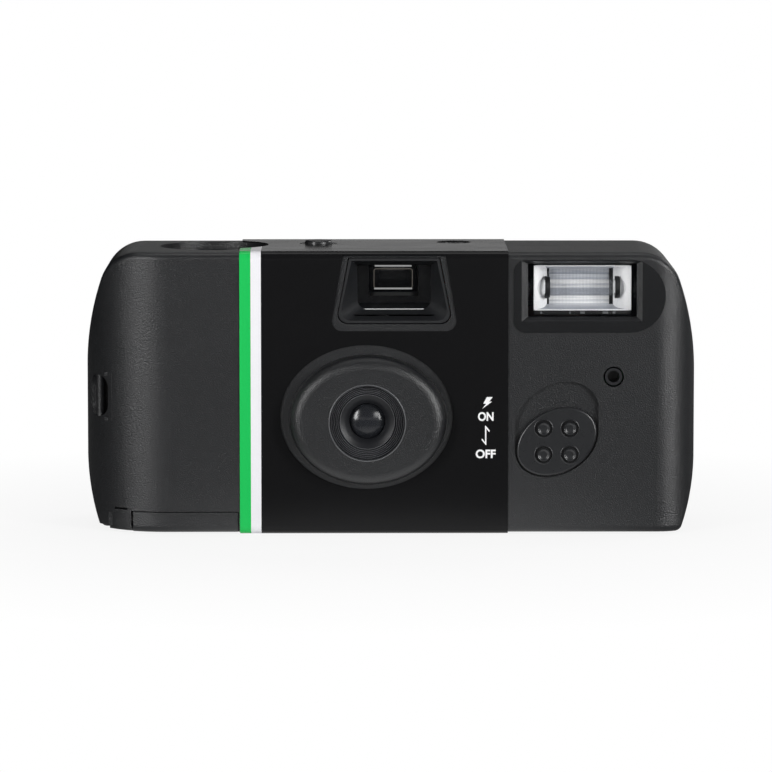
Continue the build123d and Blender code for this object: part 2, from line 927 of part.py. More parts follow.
tunnel_low = gate_low_z - tunnel_wall
tunnel_high = gate_high_z + tunnel_wall
supply_low_z = chassis_low_z + supply_plate_thickness
supply_high_z = supply_plate_high_z - supply_plate_thickness
with BuildPart() as main_chassis:
    block(
        chamber_wall_left_x,
        chamber_wall_right_x,
        inner_front_y + slack,
        gate_plate_back_y,
        chassis_foot_z,
        deck_high_z,
    )
    block(
        chamber_wall_left_x,
        plate_edge_right_x,
        gate_plate_front_y,
        gate_plate_back_y,
        chassis_foot_z,
        film_high_z + slack,
    )
    with BuildSketch(facing_front(lens_wall_front_y + lens_wall_thickness)):
        frame_rectangle(
            lens_x - tunnel_front_half_width,
            lens_x + tunnel_front_half_width,
            tunnel_front_low_z,
            tunnel_front_high_z,
        )
    with BuildSketch(facing_front(gate_plate_front_y)):
        frame_rectangle(gate_left_x - tunnel_wall, gate_right_x + tunnel_wall, tunnel_low, tunnel_high)
    loft()
    block(
        lens_wall_left_x,
        lens_wall_right_x,
        lens_wall_front_y,
        lens_wall_front_y + lens_wall_thickness,
        lens_wall_low_z,
        lens_wall_high_z,
    )
    for x0, x1 in (
        (mount_left_x, mount_left_x + spacer_width),
        (mount_right_x - spacer_width, mount_right_x),
    ):
        block(x0, x1, mount_back_y + slack / 3, lens_wall_front_y, lens_wall_low_z, mount_high_z)
    block(post_left_x, plate_edge_right_x, post_front_y, gate_plate_back_y, chassis_low_z, supply_plate_high_z)
    for low_z in (chassis_low_z, supply_high_z):
        block(
            post_left_x,
            supply_wall_x + supply_wall_thickness,
            battery_y + battery_radius + travel_gap,
            gate_plate_back_y,
            low_z,
            low_z + supply_plate_thickness,
        )
    block(
        supply_wall_x,
        supply_wall_x + supply_wall_thickness,
        board_back_y + slack,
        gate_plate_back_y,
        chassis_low_z,
        supply_plate_high_z,
    )
    block(
        chamber_wall_left_x,
        shaft_seat_right_x,
        shaft_seat_front_y,
        gate_plate_back_y,
        shaft_seat_low_z,
        shaft_seat_high_z,
    )
    block(
        guide_left_x,
        guide_right_x,
        guide_front_y,
        gate_plate_back_y,
        guide_low_z,
        guide_low_z + guide_thickness,
    )
    block(guide_left_x, guide_right_x, guide_web_front_y, gate_plate_back_y, guide_web_low_z, guide_low_z)
    rod_z(striker_x, striker_y, striker_post_radius, tunnel_front_high_z, striker_low_z - slack)
    rod_z(striker_x, striker_y, striker_pin_radius, tunnel_front_high_z, striker_low_z + striker_thickness)
    block(
        lamp_seat_left_x,
        lamp_seat_right_x,
        lamp_seat_front_y,
        gate_plate_back_y,
        lamp_seat_low_z,
        lamp_seat_high_z,
    )
    rod_y(blade_pivot_x, blade_pivot_z, blade_pin_radius, mount_back_y + slack, lens_wall_front_y)
    with BuildSketch(facing_front(lens_wall_front_y + lens_wall_thickness)):
        frame_rectangle(
            lens_x - tunnel_front_half_width + tunnel_wall,
            lens_x + tunnel_front_half_width - tunnel_wall,
            tunnel_front_low_z + tunnel_wall,
            tunnel_front_high_z - tunnel_wall,
        )
    with BuildSketch(facing_front(gate_plate_front_y)):
        frame_rectangle(gate_left_x, gate_right_x, gate_low_z, gate_high_z)
    loft(mode=Mode.SUBTRACT)
    block(
        gate_left_x,
        gate_right_x,
        gate_plate_front_y - slack,
        gate_plate_back_y + overrun,
        gate_low_z,
        gate_high_z,
        mode=Mode.SUBTRACT,
    )
    rod_y(
        lens_x,
        lens_z,
        lens_wall_hole_radius,
        lens_wall_front_y - overrun,
        lens_wall_front_y + lens_wall_thickness + overrun,
        mode=Mode.SUBTRACT,
    )
    rod_z(
        sprocket_x,
        sprocket_y,
        sprocket_radius + sprocket_tooth_height + travel_gap,
        sprocket_mid_z - sprocket_thickness / 2 - travel_gap,
        sprocket_mid_z + sprocket_thickness / 2 + travel_gap,
        mode=Mode.SUBTRACT,
    )
    rod_z(
        sprocket_x,
        sprocket_y,
        sprocket_shaft_radius + fit,
        shaft_seat_low_z + overrun / 2,
        shaft_seat_high_z + overrun,
        mode=Mode.SUBTRACT,
    )
    rod_z(
        button_x,
        button_y,
        button_stem_radius + fit,
        guide_low_z - overrun,
        guide_low_z + guide_thickness + overrun,
        mode=Mode.SUBTRACT,
    )
    for low_z in (chassis_low_z, supply_high_z):
        rod_z(
            supply_x,
            supply_y,
            supply_pin_radius + fit,
            low_z - overrun,
            low_z + supply_plate_thickness + overrun / 10,
            mode=Mode.SUBTRACT,
        )
with BuildPart() as deck:
    block(
        -half_width,
        deck_right_x,
        inner_front_y,
        deck_back_y,
        deck_low_z,
        deck_high_z,
    )
    add(body_block(wall + slack, 0), mode=Mode.INTERSECT)
    rod_z(cartridge_x, cartridge_y, wheel_pivot_radius + fit, deck_low_z - overrun, top_z, mode=Mode.SUBTRACT)
    rod_z(
        sprocket_x,
        sprocket_y,
        sprocket_shaft_radius + fit,
        deck_low_z - overrun,
        top_z,
        mode=Mode.SUBTRACT,
    )
    rod_z(dial_x, dial_y, dial_stud_radius, deck_low_z, dial_high_z + travel_gap)
with BuildPart() as chassis_with_deck:
    add(main_chassis.part)
    add(deck.part)
save(chassis_with_deck, "main_chassis")

# Lens group
with BuildPart() as lens_mount:
    rod_y(lens_x, lens_z, retainer_radius, boss_front_y, boss_back_y)
    block(mount_left_x, mount_right_x, boss_back_y, mount_back_y, mount_low_z + slack, mount_high_z)
    rod_y(
        lens_x,
        lens_z,
        lens_seat_radius,
        boss_front_y - overrun,
        boss_back_y,
        mode=Mode.SUBTRACT,
    )
    rod_y(lens_x, lens_z, light_hole_radius, boss_back_y - overrun, mount_back_y + overrun, mode=Mode.SUBTRACT)
    block(
        mount_left_x - overrun,
        mount_right_x + overrun,
        boss_back_y - overrun / 10,
        mount_back_y + overrun,
        0,
        battery_z + battery_radius + travel_gap,
        mode=Mode.SUBTRACT,
    )
save(lens_mount, "lens_mount")

retainer_cone_y = retainer_front_y + retainer_ring_count * retainer_ring_depth
retainer_last_radius = retainer_ring_first - (retainer_ring_count - 1) * retainer_ring_step
with BuildPart() as lens_retainer:
    rod_y(lens_x, lens_z, retainer_radius, retainer_front_y, retainer_back_y)
    for index in range(retainer_ring_count):
        rod_y(
            lens_x,
            lens_z,
            retainer_ring_first - index * retainer_ring_step,
            retainer_front_y - overrun,
            retainer_front_y + (index + 1) * retainer_ring_depth,
            mode=Mode.SUBTRACT,
        )
    with BuildSketch(facing_front(retainer_cone_y)):
        with Locations((lens_x, lens_z)):
            Circle(retainer_last_radius)
    with BuildSketch(facing_front(retainer_back_y)):
        with Locations((lens_x, lens_z)):
            Circle(lens_view_radius)
    loft(mode=Mode.SUBTRACT)
save(lens_retainer, "lens_retainer")

lens_front_y = boss_front_y + slack / 3
lens_back_y = lens_front_y + lens_edge
lens_face_radius = lens_view_radius - slack
lens_bulge = lens_curve_radius - sqrt(lens_curve_radius**2 - lens_face_radius**2)
with BuildPart() as taking_lens:
    rod_y(lens_x, lens_z, lens_radius, lens_front_y, lens_back_y)
    with BuildSketch(Plane(origin=(lens_x, lens_front_y, lens_z), x_dir=(1, 0, 0), z_dir=(0, 0, 1))) as cap:
        with BuildLine():
            Line((0, 0), (0, -lens_bulge))
            RadiusArc((0, -lens_bulge), (lens_face_radius, 0), lens_curve_radius)
            Line((lens_face_radius, 0), (0, 0))
        make_face()
    revolve(axis=Axis((lens_x, 0, lens_z), (0, 1, 0)))
    with BuildSketch(Plane(origin=(lens_x, lens_back_y, lens_z), x_dir=(1, 0, 0), z_dir=(0, 0, 1))):
        with BuildLine():
            Line((0, 0), (0, -lens_bulge))
            RadiusArc((0, -lens_bulge), (lens_face_radius, 0), lens_curve_radius)
            Line((lens_face_radius, 0), (0, 0))
        make_face()
    revolve(axis=Axis((lens_x, 0, lens_z), (0, 1, 0)), mode=Mode.SUBTRACT)
save(taking_lens, "taking_lens")

aperture_back_y = boss_back_y - slack / 3
with BuildPart() as aperture_plate:
    rod_y(lens_x, lens_z, lens_radius, aperture_back_y - aperture_thickness, aperture_back_y)
    rod_y(lens_x, lens_z, aperture_radius, boss_front_y, boss_back_y, mode=Mode.SUBTRACT)
save(aperture_plate, "aperture_plate")

# Shutter blade: a disc over the light hole, a hub on its pin and an ear that the striker hits
blade_thickness = 0.3
blade_disc_radius = 3.8
blade_hub_radius = 1.8
blade_arm_width = 2.4
blade_ear_high_drop = 12.0
blade_ear_high_z = top_z - blade_ear_high_drop
blade_ear_x = 1.0
blade_ear_width = 1.4
blade_front_y = mount_back_y + 1.5 * slack
with BuildPart() as shutter_blade:
    with BuildSketch(facing_front(blade_front_y + blade_thickness)):
        with Locations((lens_x, lens_z)):
            Circle(blade_disc_radius)
        with Locations((blade_pivot_x, blade_pivot_z)):
            Circle(blade_hub_radius)
        arm_dx = blade_pivot_x - lens_x
        arm_dz = blade_pivot_z - lens_z
        arm_centre = ((blade_pivot_x + lens_x) / 2, (blade_pivot_z + lens_z) / 2)
        with Locations(Location(arm_centre, degrees(atan2(arm_dz, arm_dx)))):
            Rectangle(sqrt(arm_dx**2 + arm_dz**2), blade_arm_width)
        with BuildLine():
            Polyline(
                (blade_pivot_x - blade_ear_width, blade_pivot_z),
                (blade_pivot_x + blade_ear_width, blade_pivot_z),
                (blade_ear_x + blade_ear_width / 2, blade_ear_high_z),
                (blade_ear_x - blade_ear_width / 2, blade_ear_high_z),
                close=True,
            )
        make_face()
    extrude(amount=blade_thickness)
    rod_y(
        blade_pivot_x,
        blade_pivot_z,
        blade_pin_radius + fit,
        mount_back_y,
        lens_wall_front_y,
        mode=Mode.SUBTRACT,
    )
save(shutter_blade, "shutter_blade")

# Striker: a flat lever under the viewfinder, from below the button to the blade's ear
striker_hub_radius = 2.2
striker_arm_width = 2.0
striker_tail_x = -11.8
striker_tail_y = 3.4
striker_tip_y = blade_front_y + blade_thickness / 2
striker_tip_width = 1.2
striker_tip_x = blade_ear_x - blade_ear_width / 2 - travel_gap - striker_tip_width / 2
with BuildPart() as striker_lever:
    with BuildSketch(Plane.XY.offset(striker_low_z)):
        with Locations((striker_x, striker_y)):
            Circle(striker_hub_radius)
        for end_x, end_y, width in (
            (striker_tail_x, striker_tail_y, striker_arm_width),
            (striker_tip_x, striker_tip_y, striker_tip_width),
        ):
            middle = ((striker_x + end_x) / 2, (striker_y + end_y) / 2)
            turn = degrees(atan2(end_y - striker_y, end_x - striker_x))
            length = sqrt((end_x - striker_x) ** 2 + (end_y - striker_y) ** 2)
            with Locations(Location(middle, turn)):
                Rectangle(length, width)
    extrude(amount=striker_thickness)
    rod_z(
        striker_x,
        striker_y,
        striker_pin_radius + fit,
        striker_low_z - overrun,
        striker_low_z + striker_thickness + overrun,
        mode=Mode.SUBTRACT,
    )
save(striker_lever, "striker_lever")

striker_spring_height = 2.4
striker_spring_wall = 0.5
with BuildPart() as striker_spring:
    rod_z(
        striker_x,
        striker_y,
        striker_post_radius + fit + striker_spring_wall,
        striker_low_z - travel_gap - striker_spring_height,
        striker_low_z - travel_gap,
    )
    rod_z(
        striker_x,
        striker_y,
        striker_post_radius + fit,
        striker_low_z - travel_gap - striker_spring_height - overrun,
        striker_low_z,
        mode=Mode.SUBTRACT,
    )
save(striker_spring, "striker_spring")

# Viewfinder tunnel with its two lenses
funnel_sink = 0.25
funnel_front_y = front_y + funnel_sink
funnel_wall = 0.45
funnel_end_y = -9.8
funnel_end_half = 6.6
funnel_end_low_drop = 10.45
funnel_end_low_z = top_z - funnel_end_low_drop
funnel_end_high_drop = 2.45
funnel_end_high_z = top_z - funnel_end_high_drop
finder_body_half = 8.3
finder_body_low_drop = 11.25
finder_body_low_z = top_z - finder_body_low_drop
finder_body_high_z = inner_top_z - slack
finder_body_back_y = 5.0
finder_tail_half = 5.2
finder_tail_low_z = film_high_z + travel_gap + slack
finder_tail_high_drop = 2.15
finder_tail_high_z = top_z - finder_tail_high_drop
finder_tail_wall = 0.7
front_lens_half = 7.3
front_lens_front_y = funnel_end_y
front_lens_back_y = -7.6
finder_inner_half = 7.5
eyepiece_front_y = 12.6
eyepiece_back_y = 14.6
tail_back_y = inner_back_y - slack
funnel_low_z = finder_open_low_z + slack
funnel_high_z = finder_open_high_z - slack
funnel_low_half = finder_low_half - finder_rim_side - slack
funnel_high_half = finder_high_half - finder_rim_side - slack
with BuildPart() as viewfinder_tunnel:
    with BuildSketch(facing_front(inner_front_y + slack)):
        add(finder_outline(funnel_low_half, funnel_high_half, funnel_low_z, funnel_high_z))
    extrude(amount=inner_front_y + slack - funnel_front_y)
    block(
        finder_x - finder_body_half,
        finder_x + finder_body_half,
        inner_front_y + slack,
        finder_body_back_y,
        finder_body_low_z,
        finder_body_high_z,
    )
    block(
        finder_x - finder_tail_half,
        finder_x + finder_tail_half,
        finder_body_back_y,
        tail_back_y,
        finder_tail_low_z,
        finder_tail_high_z,
    )
    with BuildSketch(facing_front(funnel_front_y)):
        add(
            finder_outline(
                funnel_low_half - funnel_wall,
                funnel_high_half - funnel_wall,
                funnel_low_z + funnel_wall,
                funnel_high_z - funnel_wall,
            )
        )
    with BuildSketch(facing_front(funnel_end_y)):
        add(finder_outline(funnel_end_half, funnel_end_half, funnel_end_low_z, funnel_end_high_z))
    loft(mode=Mode.SUBTRACT)
    block(
        finder_x - finder_inner_half,
        finder_x + finder_inner_half,
        front_lens_front_y,
        finder_body_back_y - finder_tail_wall,
        finder_body_low_z + finder_tail_wall,
        finder_body_high_z - finder_tail_wall,
        mode=Mode.SUBTRACT,
    )
    block(
        finder_x - finder_tail_half + finder_tail_wall,
        finder_x + finder_tail_half - finder_tail_wall,
        finder_body_back_y - overrun,
        tail_back_y + overrun,
        finder_tail_low_z + finder_tail_wall,
        finder_tail_high_z - finder_tail_wall,
        mode=Mode.SUBTRACT,
    )
save(viewfinder_tunnel, "viewfinder_tunnel")

front_lens_curve_radius = 34.0
front_lens_middle = 0.8
front_lens_z = (finder_body_low_z + finder_body_high_z) / 2
with BuildPart() as viewfinder_front_lens:
    block(
        finder_x - front_lens_half,
        finder_x + front_lens_half,
        front_lens_front_y + slack / 3,
        front_lens_back_y,
        finder_body_low_z + finder_tail_wall + slack / 3,
        finder_body_high_z - finder_tail_wall - slack / 3,
    )
    with Locations((finder_x, front_lens_front_y + front_lens_middle + front_lens_curve_radius, front_lens_z)):
        Sphere(front_lens_curve_radius, mode=Mode.SUBTRACT)
save(viewfinder_front_lens, "viewfinder_front_lens")

eyepiece_curve_radius = 22.0
eyepiece_z = (finder_tail_low_z + finder_tail_high_z) / 2
with BuildPart() as viewfinder_eyepiece:
    block(
        finder_x - finder_tail_half + finder_tail_wall + slack / 3,
        finder_x + finder_tail_half - finder_tail_wall - slack / 3,
        eyepiece_front_y,
        eyepiece_back_y,
        finder_tail_low_z + finder_tail_wall + slack / 3,
        finder_tail_high_z - finder_tail_wall - slack / 3,
    )
    with Locations((finder_x, eyepiece_front_y + eyepiece_curve_radius, eyepiece_z)):
        Sphere(eyepiece_curve_radius, mode=Mode.INTERSECT)
save(viewfinder_eyepiece, "viewfinder_eyepiece")

# Counter dial and its window
window_disc_low_z = inner_top_z
with BuildPart() as counter_window:
    rod_z(dial_x, dial_y, window_flange_radius, window_flange_low_z, window_flange_low_z + window_flange_height)
    rod_z(
        dial_x,
        dial_y,
        window_radius,
        window_flange_low_z,
        window_disc_low_z + window_rim_height,
    )
    window_rim_z = window_disc_low_z + window_rim_height
    with BuildSketch(Plane(origin=(dial_x, dial_y, window_rim_z), x_dir=(1, 0, 0), z_dir=(0, -1, 0))):
        with BuildLine():
            Line((0, 0), (window_radius, 0))
            ThreePointArc(
                (window_radius, 0), (window_radius / 2, window_dome * 3 / 4), (0, window_dome)
            )
            Line((0, window_dome), (0, 0))
        make_face()
    revolve(axis=Axis((dial_x, dial_y, 0), (0, 0, 1)))
    rod_z(
        dial_x,
        dial_y,
        window_radius - wall,
        window_flange_low_z - overrun,
        window_disc_low_z,
        mode=Mode.SUBTRACT,
    )
save(counter_window, "counter_window")

dial_turn = degrees(atan2(sprocket_y - dial_y, sprocket_x - dial_x))
with BuildPart() as counter_dial:
    with BuildSketch(Plane.XY.offset(dial_low_z)):
        with Locations((dial_x, dial_y)):
            Circle(dial_radius)
            Circle(dial_stud_radius + fit, mode=Mode.SUBTRACT)
            with PolarLocations(dial_radius, dial_tooth_count, start_angle=dial_turn):
                Rectangle(2 * dial_notch_depth, dial_notch_width, mode=Mode.SUBTRACT)
    extrude(amount=dial_thickness)
save(counter_dial, "counter_dial")

# Sprocket shaft: teeth in the film's perforations, a cam, and an eccentric that works the dial's pawl
cam_low_drop = 7.75
cam_low_z = top_z - cam_low_drop
cam_thickness = 1.0
cam_radius = 3.2
cam_flat = 1.9
eccentric_radius = 1.9
eccentric_offset = 0.3
shaft_low_z = shaft_seat_low_z + overrun / 2 + slack
with BuildPart() as sprocket_wheel:
    rod_z(sprocket_x, sprocket_y, sprocket_shaft_radius, shaft_low_z, dial_high_z)
    rod_z(
        sprocket_x,
        sprocket_y,
        sprocket_radius,
        sprocket_mid_z - sprocket_thickness / 2,
        sprocket_mid_z + sprocket_thickness / 2,
    )
    with BuildSketch(Plane.XY.offset(sprocket_mid_z - sprocket_thickness / 2 + slack)):
        with Locations((sprocket_x, sprocket_y)):
            with PolarLocations(sprocket_radius, sprocket_tooth_count, start_angle=90):
                Rectangle(2 * sprocket_tooth_height, sprocket_tooth_width)
    extrude(amount=sprocket_thickness - 2 * slack)
    with BuildSketch(Plane.XY.offset(cam_low_z)):
        with Locations((sprocket_x, sprocket_y)):
            Circle(cam_radius)
            with Locations((cam_flat + cam_radius, 0)):
                Rectangle(2 * cam_radius, 2 * cam_radius, mode=Mode.SUBTRACT)
    extrude(amount=cam_thickness)
    rod_z(sprocket_x - eccentric_offset, sprocket_y, eccentric_radius, dial_low_z, dial_high_z)
save(sprocket_wheel, "sprocket_wheel")

# Thumbwheel, with a blind bore for the cartridge's hub and a bar that turns it
hub_radius = 5.6
hub_high_drop = 4.65
hub_high_z = top_z - hub_high_drop
hub_slot_width = 1.6
hub_slot_depth = 1.0
wheel_bore_high_drop = 4.5
wheel_bore_high_z = top_z - wheel_bore_high_drop
drive_bar_width = 1.3
drive_bar_height = 0.9
with BuildPart() as thumbwheel:
    with BuildSketch(Plane.XY.offset(wheel_low_z)):
        with Locations((cartridge_x, cartridge_y)):
            Circle(wheel_radius)
            with PolarLocations(wheel_radius, wheel_knurl_count):
                Circle(wheel_knurl_radius, mode=Mode.SUBTRACT)
    extrude(amount=wheel_thickness)
    rod_z(
        cartridge_x,
        cartridge_y,
        hub_radius + fit,
        wheel_low_z - overrun,
        wheel_bore_high_z,
        mode=Mode.SUBTRACT,
    )
    rod_z(cartridge_x, cartridge_y, wheel_pivot_radius, wheel_bore_high_z, deck_high_z - slack / 3)
    block(
        cartridge_x - hub_radius + travel_gap,
        cartridge_x + hub_radius - travel_gap,
        cartridge_y - drive_bar_width / 2,
        cartridge_y + drive_bar_width / 2,
        wheel_bore_high_z - drive_bar_height,
        wheel_bore_high_z + slack,
    )
save(thumbwheel, "thumbwheel")

# Film cartridge: shell with its film slot, two caps, felt, spool and the first turns of film
cap_thickness = 1.0
cap_overhang = 0.2
shell_radius = cartridge_radius - cap_overhang
shell_thickness = 0.4
spool_radius = hub_radius
turns_radius = 7.2
lip_start = 5.0
felt_start = 7.0
lip_end_gap = 0.35
lip_left_x = cartridge_x + lip_start
felt_left_x = cartridge_x + felt_start
lip_right_x = chamber_wall_left_x - lip_end_gap
lip_thickness = 0.35
lip_half_height = 1.05
lip_front_y = film_y + film_thickness / 2 - lip_half_height
lip_back_y = film_y + film_thickness / 2 + lip_half_height
with BuildPart() as cartridge_shell:
    rod_z(
        cartridge_x,
        cartridge_y,
        shell_radius,
        cartridge_low_z + cap_thickness,
        cartridge_high_z - cap_thickness,
    )
    block(
        lip_left_x,
        lip_right_x,
        lip_front_y,
        lip_back_y,
        cartridge_low_z + cap_thickness,
        cartridge_high_z - cap_thickness,
    )
    rod_z(cartridge_x, cartridge_y, shell_radius - shell_thickness, 0, top_z, mode=Mode.SUBTRACT)
    block(
        lip_left_x - overrun,
        lip_right_x + overrun,
        lip_front_y + lip_thickness,
        lip_back_y - lip_thickness,
        0,
        top_z,
        mode=Mode.SUBTRACT,
    )
save(cartridge_shell, "cartridge_shell")

with BuildPart() as cartridge_caps:
    for low_z in (cartridge_low_z, cartridge_high_z - cap_thickness):
        rod_z(cartridge_x, cartridge_y, cartridge_radius, low_z, low_z + cap_thickness)
        rod_z(
            cartridge_x,
            cartridge_y,
            spool_radius + fit,
            low_z - overrun,
            low_z + cap_thickness + overrun,
            mode=Mode.SUBTRACT,
        )
save(cartridge_caps, "cartridge_caps")

with BuildPart() as cartridge_felt:
    for y0, y1 in (
        (lip_front_y + lip_thickness, film_y - slack / 3),
        (film_back_y + slack / 3, lip_back_y - lip_thickness),
    ):
        block(
            felt_left_x,
            lip_right_x,
            y0,
            y1,
            cartridge_low_z + cap_thickness,
            cartridge_high_z - cap_thickness,
        )
save(cartridge_felt, "cartridge_felt")

with BuildPart() as cartridge_spool:
    rod_z(cartridge_x, cartridge_y, spool_radius, cartridge_low_z + slack, hub_high_z)
    block(
        cartridge_x - hub_radius,
        cartridge_x + hub_radius,
        cartridge_y - hub_slot_width / 2,
        cartridge_y + hub_slot_width / 2,
        hub_high_z - hub_slot_depth,
        hub_high_z + overrun,
        mode=Mode.SUBTRACT,
    )
save(cartridge_spool, "cartridge_spool")

with BuildPart() as spool_film:
    rod_z(cartridge_x, cartridge_y, turns_radius, film_low_z, film_high_z)
    rod_z(cartridge_x, cartridge_y, spool_radius + fit, 0, top_z, mode=Mode.SUBTRACT)
save(spool_film, "spool_film")

# Film across the gate, with its perforations, and the roll that it comes from.
# One perforation is as long as the teeth need, because this strip stays still while they turn.
strip_left_x = lip_left_x
perforation_left = round((sprocket_x - strip_left_x) / perforation_pitch - 0.7)
perforation_right = int((supply_x - sprocket_x) / perforation_pitch)
tooth_tip_radius = sprocket_radius + sprocket_tooth_height
tooth_reach = sqrt(tooth_tip_radius**2 - (film_y - sprocket_y) ** 2) + slack
with BuildPart() as film_strip:
    block(strip_left_x, supply_x, film_y, film_back_y, film_low_z, film_high_z)
    with BuildSketch(facing_front(film_back_y + overrun)):
        for index in range(-perforation_left, perforation_right + 1):
            for z in (film_low_z + perforation_inset, film_high_z - perforation_inset):
                with Locations((sprocket_x + index * perforation_pitch, z)):
                    Rectangle(perforation_length, perforation_height)
        with Locations((sprocket_x, sprocket_mid_z)):
            Rectangle(2 * tooth_reach, perforation_height)
    extrude(amount=2 * overrun, mode=Mode.SUBTRACT)
save(film_strip, "film_strip")

supply_core_radius = 4.0
supply_pin_length = 0.8
with BuildPart() as film_roll:
    rod_z(supply_x, supply_y, roll_radius, film_low_z, film_high_z)
    rod_z(supply_x, supply_y, supply_core_radius + fit, 0, top_z, mode=Mode.SUBTRACT)
save(film_roll, "film_roll")

flange_thickness = 0.8
with BuildPart() as supply_spool:
    rod_z(
        supply_x,
        supply_y,
        supply_core_radius,
        supply_low_z + travel_gap,
        supply_high_z - travel_gap,
    )
    for low_z in (film_low_z - slack - flange_thickness, film_high_z + slack):
        rod_z(supply_x, supply_y, flange_radius, low_z, low_z + flange_thickness)
    rod_z(
        supply_x,
        supply_y,
        supply_pin_radius,
        supply_low_z - supply_pin_length,
        supply_high_z + supply_pin_length,
    )
save(supply_spool, "supply_spool")

# Pressure plate behind the film, with a groove for the sprocket's teeth
plate_left_x = -24.0
plate_right_x = 18.0
with BuildPart() as pressure_plate:
    block(plate_left_x, plate_right_x, plate_front_y, plate_back_y, film_low_z, film_high_z)
    block(
        plate_left_x - overrun,
        sprocket_x + sprocket_radius / 2,
        plate_front_y - overrun,
        plate_back_y + overrun,
        sprocket_mid_z - sprocket_thickness / 2 - travel_gap,
        sprocket_mid_z + sprocket_thickness / 2 + travel_gap,
        mode=Mode.SUBTRACT,
    )
    fillet(pressure_plate.edges().filter_by(Axis.Y).group_by(Axis.X)[-1], radius=wall)
save(pressure_plate, "pressure_plate")

# Pawl that stops the wheel from turning back
pawl_reach = 3.4
pawl_y = -5.4
pawl_thickness = 0.4
with BuildPart() as ratchet_pawl:
    block(
        chamber_wall_left_x - pawl_reach,
        chamber_wall_left_x,
        pawl_y - pawl_thickness / 2,
        pawl_y + pawl_thickness / 2,
        wheel_low_z + slack,
        wheel_high_z - slack,
    )
    block(
        chamber_wall_left_x - pawl_thickness,
        chamber_wall_left_x,
        pawl_y - 4 * pawl_thickness,
        pawl_y + pawl_thickness / 2,
        wheel_low_z + slack,
        wheel_high_z - slack,
    )
save(ratchet_pawl, "ratchet_pawl")

# Shutter button, its stem in the chassis guide, and its spring
button_high_z = top_z + label_thickness + button_proud
button_flange_high_z = inner_top_z - slack / 3
button_flange_low_z = button_flange_high_z - button_flange_height
button_edge_radius = 0.45
with BuildPart() as shutter_button:
    rod_z(button_x, button_y, button_radius, button_flange_low_z, button_high_z)
    fillet(shutter_button.edges().group_by(Axis.Z)[-1], radius=button_edge_radius)
    rod_z(button_x, button_y, button_flange_radius, button_flange_low_z, button_flange_high_z)
    rod_z(button_x, button_y, button_stem_radius, button_stem_low_z, button_flange_low_z)
save(shutter_button, "shutter_button")

spring_wall = 0.4
with BuildPart() as button_spring:
    rod_z(
        button_x,
        button_y,
        button_stem_radius + travel_gap + spring_wall,
        guide_low_z + guide_thickness + slack / 3,
        button_flange_low_z - slack / 3,
    )
    rod_z(button_x, button_y, button_stem_radius + travel_gap, 0, top_z, mode=Mode.SUBTRACT)
save(button_spring, "button_spring")

# Flash: clear window, reflector, tube and its end boots
window_flange_depth = 0.55
window_sink = 0.35
window_panel_front_y = front_y + window_sink
window_side = 0.15
panel_left_x = flash_left_x - flash_frame_left * flash_bevel_share + window_side
panel_right_x = flash_right_x + flash_frame_right * flash_bevel_share - window_side
panel_low_z = flash_low_z - flash_frame_low * flash_bevel_share + window_side
panel_high_z = flash_high_z + flash_frame_high * flash_bevel_share - window_side
panel_edge = 0.4
with BuildPart() as flash_window:
    block(panel_left_x, panel_right_x, window_panel_front_y, inner_front_y + slack / 3, panel_low_z, panel_high_z)
    block(
        panel_left_x - 2 * panel_edge,
        panel_right_x + 2 * panel_edge,
        inner_front_y + slack / 3,
        inner_front_y + slack / 3 + window_flange_depth,
        panel_low_z - 2 * panel_edge,
        panel_high_z + panel_edge,
    )
save(flash_window, "flash_window")

reflector_front_y = inner_front_y + slack / 3 + window_flange_depth + slack / 3
reflector_depth = 4.6
reflector_back_left_inset = 26.4
reflector_back_left_x = half_width - reflector_back_left_inset
reflector_back_right_inset = 15.2
reflector_back_right_x = half_width - reflector_back_right_inset
reflector_back_low_drop = 8.85
reflector_back_low_z = top_z - reflector_back_low_drop
reflector_back_high_drop = 4.25
reflector_back_high_z = top_z - reflector_back_high_drop
reflector_wall = 0.4
tube_y = -8.7
tube_drop = 6.55
tube_z = top_z - tube_drop
tube_radius = 1.5
tube_left_inset = 30.1
tube_left_x = half_width - tube_left_inset
tube_right_inset = 10.9
tube_right_x = half_width - tube_right_inset
with BuildPart() as flash_reflector:
    with BuildSketch(facing_front(reflector_front_y)):
        frame_rectangle(
            flash_left_x - reflector_wall,
            flash_right_x + reflector_wall,
            flash_low_z - reflector_wall,
            flash_high_z + reflector_wall,
        )
    with BuildSketch(facing_front(reflector_front_y + reflector_depth + reflector_wall)):
        frame_rectangle(
            reflector_back_left_x - reflector_wall,
            reflector_back_right_x + reflector_wall,
            reflector_back_low_z - reflector_wall,
            reflector_back_high_z + reflector_wall,
        )
    loft()
    with BuildSketch(facing_front(reflector_front_y)):
        frame_rectangle(flash_left_x, flash_right_x, flash_low_z, flash_high_z)
    with BuildSketch(facing_front(reflector_front_y + reflector_depth)):
        frame_rectangle(
            reflector_back_left_x,
            reflector_back_right_x,
            reflector_back_low_z,
            reflector_back_high_z,
        )
    loft(mode=Mode.SUBTRACT)
    rod_x(tube_y, tube_z, tube_radius + fit, tube_left_x, tube_right_x, mode=Mode.SUBTRACT)
save(flash_reflector, "flash_reflector")

with BuildPart() as flash_tube:
    rod_x(tube_y, tube_z, tube_radius, tube_left_x, tube_right_x)
save(flash_tube, "flash_tube")

boot_wall = 0.4
boot_lap = 0.1
with BuildPart() as flash_tube_boots:
    for x0, x1 in (
        (tube_left_x - boot_wall, tube_left_x + boot_lap),
        (tube_right_x - boot_lap, tube_right_x + boot_wall),
    ):
        rod_x(tube_y, tube_z, tube_radius + boot_wall, x0, x1)
    rod_x(tube_y, tube_z, tube_radius, tube_left_x, tube_right_x, mode=Mode.SUBTRACT)
save(flash_tube_boots, "flash_tube_boots")

